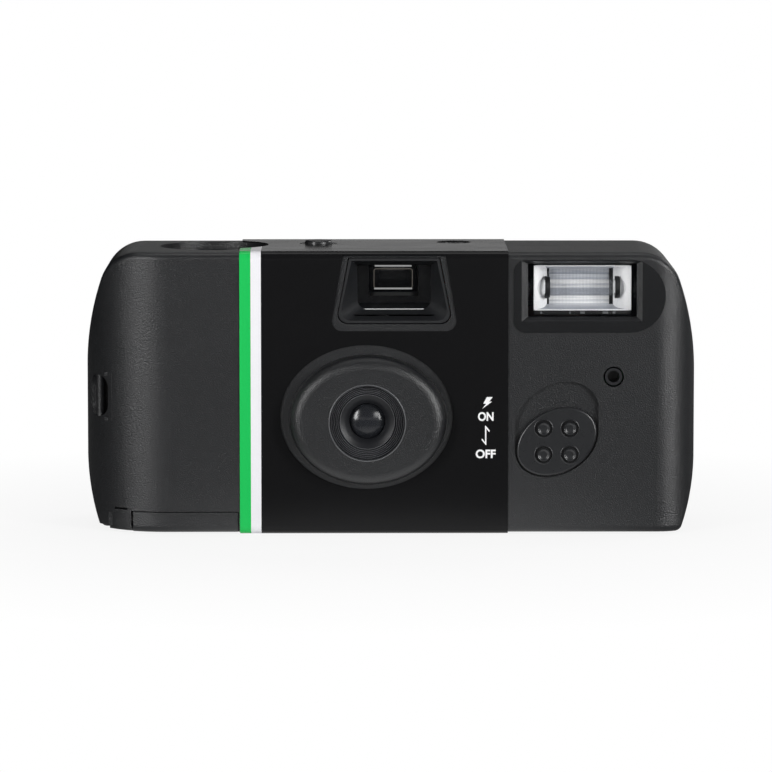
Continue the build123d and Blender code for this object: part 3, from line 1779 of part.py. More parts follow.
# Spring pawl that the eccentric pushes to step the dial
counter_pawl_width = 2.6
counter_pawl_thickness = 0.4
with BuildPart() as counter_pawl:
    block(
        dial_x + dial_radius + travel_gap,
        sprocket_x - eccentric_offset - eccentric_radius - travel_gap,
        sprocket_y - counter_pawl_width,
        sprocket_y,
        deck_high_z + slack / 3,
        deck_high_z + slack / 3 + counter_pawl_thickness,
    )
    block(
        dial_x + dial_radius + travel_gap,
        dial_x + dial_radius + travel_gap + counter_pawl_thickness,
        sprocket_y - 2 * counter_pawl_width,
        sprocket_y,
        deck_high_z + slack / 3,
        deck_high_z + slack / 3 + counter_pawl_thickness,
    )
save(counter_pawl, "counter_pawl")

# Flash board and what is soldered to it
board_notch_inset = 29.0
board_notch_x = half_width - board_notch_inset
transformer_left_inset = 11.5
transformer_left_x = half_width - transformer_left_inset
transformer_right_inset = 4.5
transformer_right_x = half_width - transformer_right_inset
transformer_low_z = 14.0
transformer_high_z = 21.5
transformer_front_y = -10.2
solder_gap = 0.1
coil_core_radius = 2.0
coil_left_inset = 13.0
coil_left_x = half_width - coil_left_inset
coil_right_inset = 6.0
coil_right_x = half_width - coil_right_inset
coil_y = board_front_y - solder_gap - coil_core_radius
coil_z = 33.4
transistor_left_inset = 10.5
transistor_left_x = half_width - transistor_left_inset
transistor_right_inset = 6.0
transistor_right_x = half_width - transistor_right_inset
transistor_low_z = 25.5
transistor_high_z = 30.0
transistor_depth = 3.4
resistor_radius = 1.1
resistor_length = 5.6
resistor_lead_radius = 0.3
resistor_lead_length = 1.5
resistor_low_z = 29.6
resistor_first_inset = 27.8
resistor_first_x = half_width - resistor_first_inset
resistor_pitch = 3.6
resistor_count = 3
capacitor_inset = 8.3
capacitor_x = half_width - capacitor_inset
capacitor_y = 5.0
capacitor_radius = 5.5
capacitor_low_z = 9.0
capacitor_high_z = 36.5
capacitor_lead_radius = 0.4
capacitor_lead_spread = 2.5
capacitor_lead_drop = 1.8
with BuildPart() as flash_board:
    block(board_left_x, board_right_x, board_front_y, board_back_y, board_low_z, board_high_z)
    fillet(flash_board.edges().filter_by(Axis.Y), radius=board_thickness)
save(flash_board, "flash_board")

with BuildPart() as transformer:
    block(
        transformer_left_x,
        transformer_right_x,
        transformer_front_y,
        board_front_y - solder_gap,
        transformer_low_z,
        transformer_high_z,
    )
    chamfer(transformer.edges().filter_by(Axis.X).group_by(Axis.Y)[0], length=board_thickness / 2)
save(transformer, "transformer")

with BuildPart() as trigger_coil:
    rod_x(coil_y, coil_z, coil_core_radius, coil_left_x, coil_right_x)
save(trigger_coil, "trigger_coil")

with BuildPart() as transistor:
    block(
        transistor_left_x,
        transistor_right_x,
        board_front_y - solder_gap - transistor_depth,
        board_front_y - solder_gap,
        transistor_low_z,
        transistor_high_z,
    )
    fillet(transistor.edges().filter_by(Axis.Z).group_by(Axis.Y)[0], radius=transistor_depth / 3)
save(transistor, "transistor")

resistor_y = board_front_y - solder_gap - resistor_radius
with BuildPart() as board_resistors:
    for index in range(resistor_count):
        x = resistor_first_x + index * resistor_pitch
        rod_z(x, resistor_y, resistor_radius, resistor_low_z, resistor_low_z + resistor_length)
        for low_z in (resistor_low_z - resistor_lead_length, resistor_low_z + resistor_length):
            rod_z(x, resistor_y, resistor_lead_radius, low_z, low_z + resistor_lead_length)
save(board_resistors, "board_resistors")

lead_z = capacitor_low_z - capacitor_lead_drop
with BuildPart() as main_capacitor:
    rod_z(capacitor_x, capacitor_y, capacitor_radius, capacitor_low_z, capacitor_high_z)
    for x in (capacitor_x - capacitor_lead_spread, capacitor_x + capacitor_lead_spread):
        rod_z(x, capacitor_y, capacitor_lead_radius, lead_z - capacitor_lead_radius, capacitor_low_z)
        rod_y(x, lead_z, capacitor_lead_radius, board_back_y + solder_gap, capacitor_y)
save(main_capacitor, "main_capacitor")

# Ready lamp under the light pipe
neon_radius = 1.5
neon_left_x = 9.2
neon_right_x = 14.6
neon_drop = 12.45
neon_z = top_z - neon_drop
with BuildPart() as charge_lamp:
    rod_x(lamp_y, neon_z, neon_radius, neon_left_x, neon_right_x)
save(charge_lamp, "charge_lamp")

# Hollow post behind the sight hole
post_front_y_gap = 0.25
with BuildPart() as board_post:
    rod_y(post_x, post_z, post_radius, front_y + post_front_y_gap, board_front_y - solder_gap)
    rod_y(post_x, post_z, post_bore_radius, front_y - overrun, board_front_y - wall, mode=Mode.SUBTRACT)
save(board_post, "board_post")

# Flash switch: the knob, the slide behind the cover, and the light pipe that it lifts
knob_bump_spread_x = 2.36
knob_bump_spread_z = 2.35
knob_bump_radius = 1.22
knob_bump_height = 0.45
knob_groove_radius = 1.52
knob_groove_depth = 0.25
knob_edge_radius = 0.4
knob_front_y = front_y - knob_proud
knob_back_y = knob_front_y + knob_thickness
slide_front_y = inner_front_y + slack
slide_thickness = 0.95
slide_left_inset = 40.1
slide_left_x = half_width - slide_left_inset
slide_right_inset = 21.0
slide_right_x = half_width - slide_right_inset
slide_low_z = battery_z + battery_radius + travel_gap
slide_high_z = 21.8
arm_width = 3.0
arm_beam_low_drop = 9.25
arm_beam_low_z = top_z - arm_beam_low_drop
arm_beam_high_drop = 7.25
arm_beam_high_z = top_z - arm_beam_high_drop
arm_beam_thickness = arm_beam_high_z - arm_beam_low_z
arm_plate_front_y = 5.4
arm_plate_back_y = 11.9
arm_plate_left_x = 8.4
pipe_low_radius = 2.6
pipe_high_z = top_z + label_thickness - lamp_sink
with BuildPart() as flash_switch_knob:
    with BuildSketch(facing_front(knob_back_y)):
        add(knob_sweep(0, 0))
    extrude(amount=knob_thickness)
    fillet(flash_switch_knob.edges().group_by(Axis.Y)[0], radius=knob_edge_radius)
    for dx in (-knob_bump_spread_x, knob_bump_spread_x):
        for dz in (-knob_bump_spread_z, knob_bump_spread_z):
            x = knob_x + dx
            z = knob_z + dz
            rod_y(x, z, knob_groove_radius, knob_front_y - overrun, knob_front_y + knob_groove_depth, mode=Mode.SUBTRACT)
            rod_y(x, z, knob_bump_radius, knob_front_y - knob_bump_height / 2, knob_front_y + knob_groove_depth)
    block(
        knob_x - knob_stem_half,
        knob_x + knob_stem_half,
        knob_back_y - slack / 3,
        slide_front_y - slack / 3,
        stem_z - knob_stem_half,
        stem_z + knob_stem_half,
    )
save(flash_switch_knob, "flash_switch_knob")

with BuildPart() as switch_slide:
    block(slide_left_x, slide_right_x, slide_front_y, slide_front_y + slide_thickness, slide_low_z, slide_high_z)
    block(
        slide_left_x,
        slide_left_x + arm_width,
        slide_front_y,
        slide_front_y + slide_thickness,
        slide_high_z - slide_thickness,
        arm_beam_high_z,
    )
    block(
        slide_left_x,
        slide_left_x + arm_width,
        slide_front_y,
        arm_plate_back_y,
        arm_beam_low_z,
        arm_beam_high_z,
    )
    block(
        arm_plate_left_x,
        slide_left_x + arm_width,
        arm_plate_front_y,
        arm_plate_back_y,
        arm_beam_low_z,
        arm_beam_high_z,
    )
    rod_z(lamp_x, lamp_y, pipe_low_radius + fit, arm_beam_low_z - overrun, arm_beam_high_z + overrun, mode=Mode.SUBTRACT)
save(switch_slide, "switch_slide")

with BuildPart() as light_pipe:
    rod_z(lamp_x, lamp_y, pipe_low_radius, lamp_low_z, arm_beam_high_z + slack / 3)
    rod_z(lamp_x, lamp_y, lamp_radius, arm_beam_high_z + slack / 3, pipe_high_z)
    fillet(light_pipe.edges().group_by(Axis.Z)[-1], radius=lamp_radius / 3)
save(light_pipe, "light_pipe")

# Contact leaves of the flash switch and of the shutter
contact_thickness = 0.3
contact_width = 2.0
contact_low_z = 15.0
contact_high_z = 21.0
contact_gap = 0.4
contact_front_y = slide_front_y + slide_thickness + contact_gap
with BuildPart() as switch_contact:
    for x0 in (board_notch_x, board_notch_x + 2 * contact_width):
        block(x0, x0 + contact_width, contact_front_y, contact_front_y + contact_thickness, contact_low_z, contact_high_z)
        block(
            x0,
            x0 + contact_width,
            contact_front_y,
            board_front_y - solder_gap,
            contact_low_z,
            contact_low_z + contact_thickness,
        )
save(switch_contact, "switch_contact")

sync_left_x = 8.0
sync_low_z = 33.0
sync_width = 1.8
sync_front_y = lens_wall_front_y + lens_wall_thickness + slack
with BuildPart() as sync_contact:
    block(
        sync_left_x,
        board_left_x + contact_width,
        sync_front_y,
        sync_front_y + contact_thickness,
        sync_low_z,
        sync_low_z + sync_width,
    )
    block(
        board_left_x + contact_width - contact_thickness,
        board_left_x + contact_width,
        sync_front_y,
        board_front_y - solder_gap,
        sync_low_z,
        sync_low_z + sync_width,
    )
save(sync_contact, "sync_contact")

# Battery cell and its two contact plates
battery_nub_radius = 1.9
battery_nub_length = 0.8
battery_edge_radius = 0.5
plate_half_width = 4.0
plate_low_z = 2.4
plate_high_z = 12.0
tab_half_width = 1.2
tab_high_z = 18.0
with BuildPart() as battery:
    rod_x(battery_y, battery_z, battery_radius, battery_left_x, battery_right_x - battery_nub_length)
    fillet(battery.edges(), radius=battery_edge_radius)
    rod_x(battery_y, battery_z, battery_nub_radius, battery_right_x - overrun, battery_right_x)
save(battery, "battery")

with BuildPart() as battery_contact_positive:
    x0 = battery_right_x + slack
    block(
        x0,
        x0 + contact_thickness,
        battery_y - plate_half_width,
        battery_y + plate_half_width,
        plate_low_z,
        plate_high_z,
    )
    block(
        x0,
        board_left_x + contact_width,
        board_front_y - solder_gap - contact_thickness,
        board_front_y - solder_gap,
        plate_high_z - contact_width,
        plate_high_z,
    )
save(battery_contact_positive, "battery_contact_positive")

with BuildPart() as battery_contact_negative:
    x1 = battery_left_x - slack
    block(
        x1 - contact_thickness,
        x1,
        battery_y - plate_half_width,
        battery_y + plate_half_width,
        plate_low_z,
        plate_high_z,
    )
    rod_x(battery_y, battery_z, battery_nub_radius, x1 - contact_thickness, x1 + slack / 3)
save(battery_contact_negative, "battery_contact_negative")

# Cartridge door: floor plate, front lip, hinge barrel with its pins, and the latch hook
with BuildPart() as cartridge_door:
    with BuildSketch(Plane.XY.offset(floor_z)):
        add(door_outline(wall, slack))
    extrude(amount=door_thickness)
    with BuildPart(mode=Mode.PRIVATE) as door_lip:
        add(body_outer)
        add(body_block(door_thickness, 0), mode=Mode.SUBTRACT)
        block(
            door_lip_left_x,
            door_lip_right_x,
            front_y - overrun,
            door_hook_back_y,
            floor_z - overrun,
            door_lip_high_z,
            mode=Mode.INTERSECT,
        )
    add(door_lip.part)
    rod_y(hinge_x, hinge_z, hinge_radius, door_front_y, door_back_y)
    rod_y(
        hinge_x,
        hinge_z,
        hinge_pin_radius,
        door_front_y - hinge_pin_length,
        door_back_y + hinge_pin_length,
    )
    block(
        door_hook_left_x,
        door_hook_right_x,
        door_hook_front_y,
        door_hook_back_y,
        floor_z + door_thickness / 2,
        door_hook_high_z,
    )
save(cartridge_door, "cartridge_door")
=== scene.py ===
# %% [markdown]
# # A single-use film camera
# This lesson dresses a finished CAD model of a small film camera. The model brings every hard
# shape: the covers, the label band, the lens and what is inside. Blender adds what CAD leaves
# out: grain, gloss, print, the bands of the flash reflector, a wound spring and light.
# The first step loads the model as a fixed frame.

# %% Load the frame
import math
import bmesh
import bpy
from mathutils import Matrix, Vector


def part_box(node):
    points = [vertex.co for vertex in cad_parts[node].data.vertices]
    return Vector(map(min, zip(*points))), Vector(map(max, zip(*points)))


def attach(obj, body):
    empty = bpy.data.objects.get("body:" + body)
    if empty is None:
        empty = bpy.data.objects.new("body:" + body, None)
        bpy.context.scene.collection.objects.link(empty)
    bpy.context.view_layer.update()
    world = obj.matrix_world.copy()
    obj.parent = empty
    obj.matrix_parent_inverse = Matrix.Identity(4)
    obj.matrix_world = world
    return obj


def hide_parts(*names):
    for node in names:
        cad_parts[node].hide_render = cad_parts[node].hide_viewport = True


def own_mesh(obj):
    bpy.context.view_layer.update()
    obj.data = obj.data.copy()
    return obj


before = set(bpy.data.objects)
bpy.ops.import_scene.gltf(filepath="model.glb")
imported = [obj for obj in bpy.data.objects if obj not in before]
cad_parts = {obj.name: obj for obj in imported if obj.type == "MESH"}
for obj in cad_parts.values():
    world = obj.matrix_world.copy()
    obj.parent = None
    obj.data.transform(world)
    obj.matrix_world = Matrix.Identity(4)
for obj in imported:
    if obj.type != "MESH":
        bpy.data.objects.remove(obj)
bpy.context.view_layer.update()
MM = 0.001

# %% [markdown]
# Every finish is a small network of shader nodes. Four helpers keep them short. The first turns
# a colour picked on a screen into the linear light that the renderer works with. The second adds
# one node with its settings and links, and the stops of a colour ramp. The third makes a material
# that ends in a Principled shader, and the last gives a finish to pieces of the CAD model.

# %% Helpers for finishes
def linear(hex_colour):
    """An sRGB hex colour as linear light."""
    parts = [int(hex_colour[i:i + 2], 16) / 255 for i in (1, 3, 5)]
    return tuple(c / 12.92 if c <= 0.04045 else ((c + 0.055) / 1.055) ** 2.4 for c in parts) + (1.0,)


def add(tree, kind, links=None, stops=(), **settings):
    """Adds one shader node, with its settings, a ramp's stops, and what goes into its sockets."""
    node = tree.nodes.new(kind)
    for key, value in settings.items():
        setattr(node, key, value)
    for index, (position, colour) in enumerate(stops):
        elements = node.color_ramp.elements
        element = elements[index] if index < 2 else elements.new(position)
        element.position = position
        element.color = linear(colour)
    for socket, value in (links or {}).items():
        if isinstance(value, bpy.types.NodeSocket):
            tree.links.new(value, node.inputs[socket])
        else:
            node.inputs[socket].default_value = value
    return node


def finish(name, **sockets):
    """A material with a Principled shader: the material, its tree, its place in mm, the shader."""
    material = bpy.data.materials.new(name)
    material.use_nodes = True
    tree = material.node_tree
    tree.nodes.clear()
    place = add(tree, "ShaderNodeTexCoord").outputs["Object"]
    in_mm = add(tree, "ShaderNodeVectorMath", {0: place, 1: (1000, 1000, 1000)}, operation="MULTIPLY")
    shader = add(tree, "ShaderNodeBsdfPrincipled", sockets)
    add(tree, "ShaderNodeOutputMaterial", {"Surface": shader.outputs[0]})
    return material, tree, in_mm.outputs[0], shader


def dress(material, *nodes):
    """Gives CAD nodes a finish."""
    for name in nodes:
        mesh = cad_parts[name].data
        mesh.materials.clear()
        mesh.materials.append(material)


print("white is", [round(c, 3) for c in linear("#ffffff")], "mid grey is", round(linear("#808080")[0], 3))

# %% [markdown]
# The camera comes early, because every later choice is judged through it. The photograph was
# taken from far away with a long lens, six degrees above the level and almost straight on, so
# the object shows its front and a thin strip of its top. The place and the focal length were
# worked out from the object's edges. The small shift puts it where the photograph has it.

# %% Camera
IMAGE_WIDTH = 772
OBJECT_PIXELS = 603
OBJECT_MM = 110
SHIFT_PIXELS = (-3.5, -1.4)
SENSOR_MM = 36
DISTANCE = 0.917
ELEVATION = math.radians(6.06)
AZIMUTH = math.radians(-0.4)
aim = Vector((0, 0.0014, 0.0255))
level_share = math.cos(ELEVATION)
back = Vector((math.sin(AZIMUTH) * level_share, -math.cos(AZIMUTH) * level_share, math.sin(ELEVATION)))
camera_data = bpy.data.cameras.new("photo_camera")
camera_data.sensor_width = SENSOR_MM
camera_data.lens = SENSOR_MM * (OBJECT_PIXELS / OBJECT_MM) * (DISTANCE / MM) / IMAGE_WIDTH
camera_data.shift_x = SHIFT_PIXELS[0] / IMAGE_WIDTH
camera_data.shift_y = SHIFT_PIXELS[1] / IMAGE_WIDTH
camera_data.clip_start = 0.01
camera = bpy.data.objects.new("photo_camera", camera_data)
camera.location = aim + back * DISTANCE
camera.rotation_euler = back.to_track_quat("Z", "Y").to_euler()
bpy.context.scene.collection.objects.link(camera)
bpy.context.scene.camera = camera
bpy.context.scene.view_settings.view_transform = "Standard"
print("lens", round(camera_data.lens, 1), "mm, camera at", [round(c, 3) for c in camera.location])

# %% [markdown]
# A product photograph is lit by large soft sources. Five softboxes stand round the object: a
# tall one on each side of the front, a small one to the right of the lens, a wide one above and
# one behind. Each is an area lamp turned towards the object, and the camera doesn't see it.

# %% Softboxes
SOFTBOXES = {
    "softbox_right": ((0.66, -0.6, 0.24), (0.16, 0.46), 4.8),
    "softbox_left": ((-0.57, -0.67, 0.24), (0.14, 0.46), 4.2),
    "softbox_front": ((0.5, -0.74, 0.27), (0.24, 0.24), 1.3),
    "softbox_top": ((0.0, 0.1, 0.85), (0.8, 0.4), 1.7),
    "softbox_back": ((0.7, 0.52, 0.5), (0.4, 0.3), 1.6),
}
for name, (place, size, power) in SOFTBOXES.items():
    data = bpy.data.lights.new(name, "AREA")
    data.shape = "RECTANGLE"
    data.size, data.size_y = size
    data.energy = power
    lamp = bpy.data.objects.new(name, data)
    lamp.location = place
    lamp.rotation_euler = (Vector(place) - aim).to_track_quat("Z", "Y").to_euler()
    lamp.visible_camera = False
    bpy.context.scene.collection.objects.link(lamp)
print("softboxes", len(SOFTBOXES))

# %% [markdown]
# The camera sees a plain white room. A glossy black object washes out in a white room, so what
# it mirrors is white only just above the horizon and dim higher up. The soft light comes almost
# only from the softboxes. Light Path is the node that tells these kinds of rays apart.

# %% Room
HORIZON_LOW, HORIZON_HIGH = 0.01, 0.12
MIRRORED_ROOM, SOFT_ROOM = 0.1, 0.07


def seen_directly(tree):
    """One for rays from the camera, from a reflection or through glass, and zero for soft light."""
    path = add(tree, "ShaderNodeLightPath")
    either = add(tree, "ShaderNodeMath", {
        0: path.outputs["Is Camera Ray"], 1: path.outputs["Is Glossy Ray"]}, operation="MAXIMUM")
    any_of_three = add(tree, "ShaderNodeMath", {
        0: either.outputs[0], 1: path.outputs["Is Transmission Ray"]}, operation="MAXIMUM")
    return any_of_three.outputs[0]


world = bpy.data.worlds.new("studio")
bpy.context.scene.world = world
world.use_nodes = True
room = world.node_tree
room.nodes.clear()
way = add(room, "ShaderNodeTexCoord")
height = add(room, "ShaderNodeSeparateXYZ", {0: way.outputs["Generated"]})
backdrop = add(room, "ShaderNodeMapRange", {
    "Value": height.outputs["Z"], "From Min": HORIZON_LOW, "From Max": HORIZON_HIGH,
    "To Min": 1.0, "To Max": MIRRORED_ROOM})
path = add(room, "ShaderNodeLightPath")
backdrop_or_white = add(room, "ShaderNodeMath", {
    0: backdrop.outputs[0], 1: path.outputs["Is Camera Ray"]}, operation="MAXIMUM")
strength = add(room, "ShaderNodeMix", {
    0: seen_directly(room), 2: SOFT_ROOM, 3: backdrop_or_white.outputs[0]}, data_type="FLOAT")
studio = add(room, "ShaderNodeBackground", {"Color": linear("#ffffff"), "Strength": strength.outputs[0]})
add(room, "ShaderNodeOutputWorld", {"Surface": studio.outputs[0]})
print("room ready")

# %% [markdown]
# The floor is pale paper that takes a soft shadow. The camera sees it turn to plain white away
# from the object, so there is no line where it meets the room. Reflections see it white close to
# the object and dim further out, which keeps the black covers black. It lies a twentieth of a
# millimetre low, so that it never shares a plane with the underside.

# %% Floor
FLOOR_HALF, FLOOR_DROP = 8, 0.00005
SHADOW_NEAR, SHADOW_FAR, PLAIN_NEAR = 0.05, 0.13, 0.86
MIRROR_NEAR, MIRROR_FAR, MIRRORED_FLOOR = 0.03, 0.06, 0.09
floor_mesh = bpy.data.meshes.new("floor")
bm = bmesh.new()
bmesh.ops.create_grid(bm, x_segments=1, y_segments=1, size=FLOOR_HALF)
bmesh.ops.translate(bm, vec=(0, 0, -FLOOR_DROP), verts=bm.verts)
bm.to_mesh(floor_mesh)
bm.free()
floor = bpy.data.objects.new("floor", floor_mesh)
bpy.context.scene.collection.objects.link(floor)
paper = bpy.data.materials.new("white_backdrop_paper")
paper.use_nodes = True
tree = paper.node_tree
tree.nodes.clear()
place = add(tree, "ShaderNodeTexCoord")
away = add(tree, "ShaderNodeVectorMath", {0: place.outputs["Object"]}, operation="LENGTH")
plain_share = add(tree, "ShaderNodeMapRange", {
    "Value": away.outputs["Value"], "From Min": SHADOW_NEAR, "From Max": SHADOW_FAR,
    "To Min": PLAIN_NEAR, "To Max": 1.0})
share = add(tree, "ShaderNodeMath", {
    0: seen_directly(tree), 1: plain_share.outputs[0]}, operation="MULTIPLY")
dim = add(tree, "ShaderNodeMapRange", {
    "Value": away.outputs["Value"], "From Min": MIRROR_NEAR, "From Max": MIRROR_FAR,
    "To Min": 1.0, "To Max": MIRRORED_FLOOR})
matt = add(tree, "ShaderNodeBsdfDiffuse", {"Color": linear("#f4f4f4")})
plain = add(tree, "ShaderNodeEmission", {"Color": linear("#ffffff"), "Strength": 1.0})
mirrored = add(tree, "ShaderNodeEmission", {"Color": linear("#ffffff"), "Strength": dim.outputs[0]})
straight = add(tree, "ShaderNodeMixShader", {
    "Fac": share.outputs[0], 1: matt.outputs[0], 2: plain.outputs[0]})
path = add(tree, "ShaderNodeLightPath")
paper_mix = add(tree, "ShaderNodeMixShader", {
    "Fac": path.outputs["Is Glossy Ray"], 1: straight.outputs[0], 2: mirrored.outputs[0]})
add(tree, "ShaderNodeOutputMaterial", {"Surface": paper_mix.outputs[0]})
floor_mesh.materials.append(paper)
print("floor ready")

# %% [markdown]
# A photographer darkens an edge by standing a black card where that edge mirrors it. This one
# stands behind the left end and is seen only in reflections and through clear plastic: neither
# the camera nor the soft light meets it. It is covered with velvet, which gives back almost
# nothing.

# %% Black card
CARD_WIDTH, CARD_HEIGHT, CARD_TURN = 0.45, 0.4, 62
CARD_PLACE = (-0.2, 0.24, 0.2)
NAP_MM = 2
card_mesh = bpy.data.meshes.new("black_card")
bm = bmesh.new()
bmesh.ops.create_grid(bm, x_segments=1, y_segments=1, size=0.5)
bmesh.ops.scale(bm, vec=(CARD_WIDTH, CARD_HEIGHT, 1), verts=bm.verts)
for angle, axis in ((90, "X"), (CARD_TURN, "Z")):
    turn = Matrix.Rotation(math.radians(angle), 3, axis)
    bmesh.ops.rotate(bm, verts=bm.verts, cent=(0, 0, 0), matrix=turn)
bmesh.ops.translate(bm, vec=CARD_PLACE, verts=bm.verts)
bm.to_mesh(card_mesh)
bm.free()
card = bpy.data.objects.new("black_card", card_mesh)
bpy.context.scene.collection.objects.link(card)
card.visible_camera = False
card.visible_diffuse = False
card.visible_shadow = False
velvet, tree, mm, shader = finish("black_velvet", **{"Roughness": 0.9, "Specular IOR Level": 0.1})
nap = add(tree, "ShaderNodeTexNoise", {"Vector": mm, "Scale": 1 / NAP_MM, "Detail": 3.0})
tone = add(tree, "ShaderNodeValToRGB", {
    "Fac": nap.outputs["Fac"]}, stops=((0.3, "#050505"), (0.7, "#0a0a0a")))
tree.links.new(tone.outputs["Color"], shader.inputs["Base Color"])
card_mesh.materials.append(velvet)
print("card ready")

# %% [markdown]
# The covers are ABS, moulded in a tool that was eroded with sparks. That leaves a fine even
# grain, which scatters light and hides fingerprints. The real grain is too fine for the render,
# so it is drawn about a quarter of a millimetre across. The pad round the flash stands a little
# proud of the front and was polished in the tool, so there the grain fades out. A mask on the
# depth of the surface tells it apart.

# %% Case finish
GRAIN_MM, CLOUD_MM = 0.24, 14
GRAIN_DEPTH = 0.00008
PAD_FRONT_MM, PAD_DEPTH_MM = -13.4, 0.1
PAD_GRAIN, PAD_SPECK, PAD_ROUGHNESS = 0.12, 0.7, 0.24
case, tree, mm, shader = finish("spark_eroded_abs", **{"Specular IOR Level": 0.58})
place = add(tree, "ShaderNodeSeparateXYZ", {0: mm})
on_pad = add(tree, "ShaderNodeMath", {
    0: place.outputs["Y"], 1: PAD_FRONT_MM, 2: PAD_DEPTH_MM}, operation="COMPARE")
grained = add(tree, "ShaderNodeMapRange", {"Value": on_pad.outputs[0], "To Min": 1.0, "To Max": PAD_GRAIN})
grain = add(tree, "ShaderNodeTexNoise", {
    "Vector": mm, "Scale": 1 / GRAIN_MM, "Detail": 3.0, "Roughness": 0.6})
cloud = add(tree, "ShaderNodeTexNoise", {"Vector": mm, "Scale": 1 / CLOUD_MM, "Detail": 2.0})
relief = add(tree, "ShaderNodeBump", {
    "Height": grain.outputs["Fac"], "Strength": grained.outputs[0], "Distance": GRAIN_DEPTH})
tone = add(tree, "ShaderNodeMix", {
    0: cloud.outputs["Fac"], 6: linear("#131416"), 7: linear("#191a1c")}, data_type="RGBA")
speck = add(tree, "ShaderNodeMapRange", {"Value": grain.outputs["Fac"], "To Min": 0.45, "To Max": 1.6})
speck_or_pad = add(tree, "ShaderNodeMix", {
    0: grained.outputs[0], 2: PAD_SPECK, 3: speck.outputs[0]}, data_type="FLOAT")
body_colour = add(tree, "ShaderNodeMix", {
    0: 1.0, 6: tone.outputs[2], 7: speck_or_pad.outputs[0]}, data_type="RGBA", blend_type="MULTIPLY")
dull = add(tree, "ShaderNodeMapRange", {"Value": grain.outputs["Fac"], "To Min": 0.28, "To Max": 0.38})
gloss = add(tree, "ShaderNodeMix", {
    0: on_pad.outputs[0], 2: dull.outputs[0], 3: PAD_ROUGHNESS}, data_type="FLOAT")
tree.links.new(body_colour.outputs[2], shader.inputs["Base Color"])
tree.links.new(gloss.outputs[0], shader.inputs["Roughness"])
tree.links.new(relief.outputs[0], shader.inputs["Normal"])
dress(case, "front_cover", "rear_cover", "cartridge_door")
print("case grain", GRAIN_MM, "mm")

# %% [markdown]
# The knob, the button and the other small mouldings are the same plastic from a smoother tool.
# They look a little denser and catch a soft edge light. Parts inside are dead black, so that
# no stray light reaches the film, but the walls of the viewfinder are satin and show their
# edges. Wheels and slides are acetal, which runs without grease.

# %% Smooth and dead black mouldings
def moulding(name, dark, pale, roughness, specular, grain_mm):
    """Moulded plastic with a faint mottle in its colour and its gloss."""
    material, tree, mm, shader = finish(name, **{"Specular IOR Level": specular})
    grain = add(tree, "ShaderNodeTexNoise", {"Vector": mm, "Scale": 1 / grain_mm, "Detail": 2.0})
    tone = add(tree, "ShaderNodeMix", {
        0: grain.outputs["Fac"], 6: linear(dark), 7: linear(pale)}, data_type="RGBA")
    rough = add(tree, "ShaderNodeMapRange", {
        "Value": grain.outputs["Fac"], "To Min": roughness - 0.06, "To Max": roughness + 0.06})
    relief = add(tree, "ShaderNodeBump", {
        "Height": grain.outputs["Fac"], "Strength": 0.3, "Distance": 0.00001})
    tree.links.new(tone.outputs[2], shader.inputs["Base Color"])
    tree.links.new(rough.outputs[0], shader.inputs["Roughness"])
    tree.links.new(relief.outputs[0], shader.inputs["Normal"])
    return material


knob_abs = moulding("satin_abs", "#191a1c", "#202123", 0.3, 0.62, 0.35)
inner_abs = moulding("dead_black_polystyrene", "#0b0b0c", "#111112", 0.5, 0.2, 0.5)
tunnel_black = moulding("satin_black_polystyrene", "#191a1c", "#212224", 0.34, 0.6, 0.5)
gear_acetal = moulding("black_acetal", "#17181a", "#1f2022", 0.42, 0.4, 0.4)
grey_acetal = moulding("grey_acetal", "#5c5e60", "#66686a", 0.45, 0.4, 0.4)
dress(knob_abs, "shutter_button", "flash_switch_knob", "board_post")
dress(inner_abs, "lens_retainer", "main_chassis", "lens_mount")
dress(tunnel_black, "viewfinder_tunnel")
dress(gear_acetal, "thumbwheel", "sprocket_wheel")
dress(grey_acetal, "supply_spool", "switch_slide", "cartridge_spool")
print("mouldings dressed")

# %% [markdown]
# The label is printed film, laminated and wrapped once round the body. It is glossy black, and
# its left edge carries a green and a white stripe, which stop on the top behind the dial. The
# stripes are part of the colour: the material reads how far along the body it is. A very slow
# ripple in the surface bends the reflections, as on every label that a machine has rolled on.

# %% Label finish
STRIPE_GREEN_MM, STRIPE_WHITE_MM = -25.0, -23.15
STRIPE_BACK_MM, LABEL_TOP_MM = 0.0, 50.5
MOTTLE_MM, RIPPLE_MM = 0.22, 9
INKS = {"green": ("#1bb050", "#21bd5a"), "white": ("#dddce0", "#e8e7eb"), "black": ("#0f0f10", "#141415")}
label, tree, mm, shader = finish("laminated_label_film", **{"Roughness": 0.2, "Specular IOR Level": 0.17})
place = add(tree, "ShaderNodeSeparateXYZ", {0: mm})
mottle = add(tree, "ShaderNodeTexNoise", {"Vector": mm, "Scale": 1 / MOTTLE_MM, "Detail": 2.0})
ink = {}
for name, (dark, pale) in INKS.items():
    ink[name] = add(tree, "ShaderNodeMix", {
        0: mottle.outputs["Fac"], 6: linear(dark), 7: linear(pale)}, data_type="RGBA").outputs[2]
in_green = add(tree, "ShaderNodeMath", {0: place.outputs["X"], 1: STRIPE_GREEN_MM}, operation="LESS_THAN")
in_stripes = add(tree, "ShaderNodeMath", {0: place.outputs["X"], 1: STRIPE_WHITE_MM}, operation="LESS_THAN")
stripes = add(tree, "ShaderNodeMix", {
    0: in_green.outputs[0], 6: ink["white"], 7: ink["green"]}, data_type="RGBA")
striped = add(tree, "ShaderNodeMix", {
    0: in_stripes.outputs[0], 6: ink["black"], 7: stripes.outputs[2]}, data_type="RGBA")
behind = add(tree, "ShaderNodeMath", {0: place.outputs["Y"], 1: STRIPE_BACK_MM}, operation="GREATER_THAN")
on_top = add(tree, "ShaderNodeMath", {0: place.outputs["Z"], 1: LABEL_TOP_MM}, operation="GREATER_THAN")
plain_part = add(tree, "ShaderNodeMath", {0: behind.outputs[0], 1: on_top.outputs[0]}, operation="MULTIPLY")
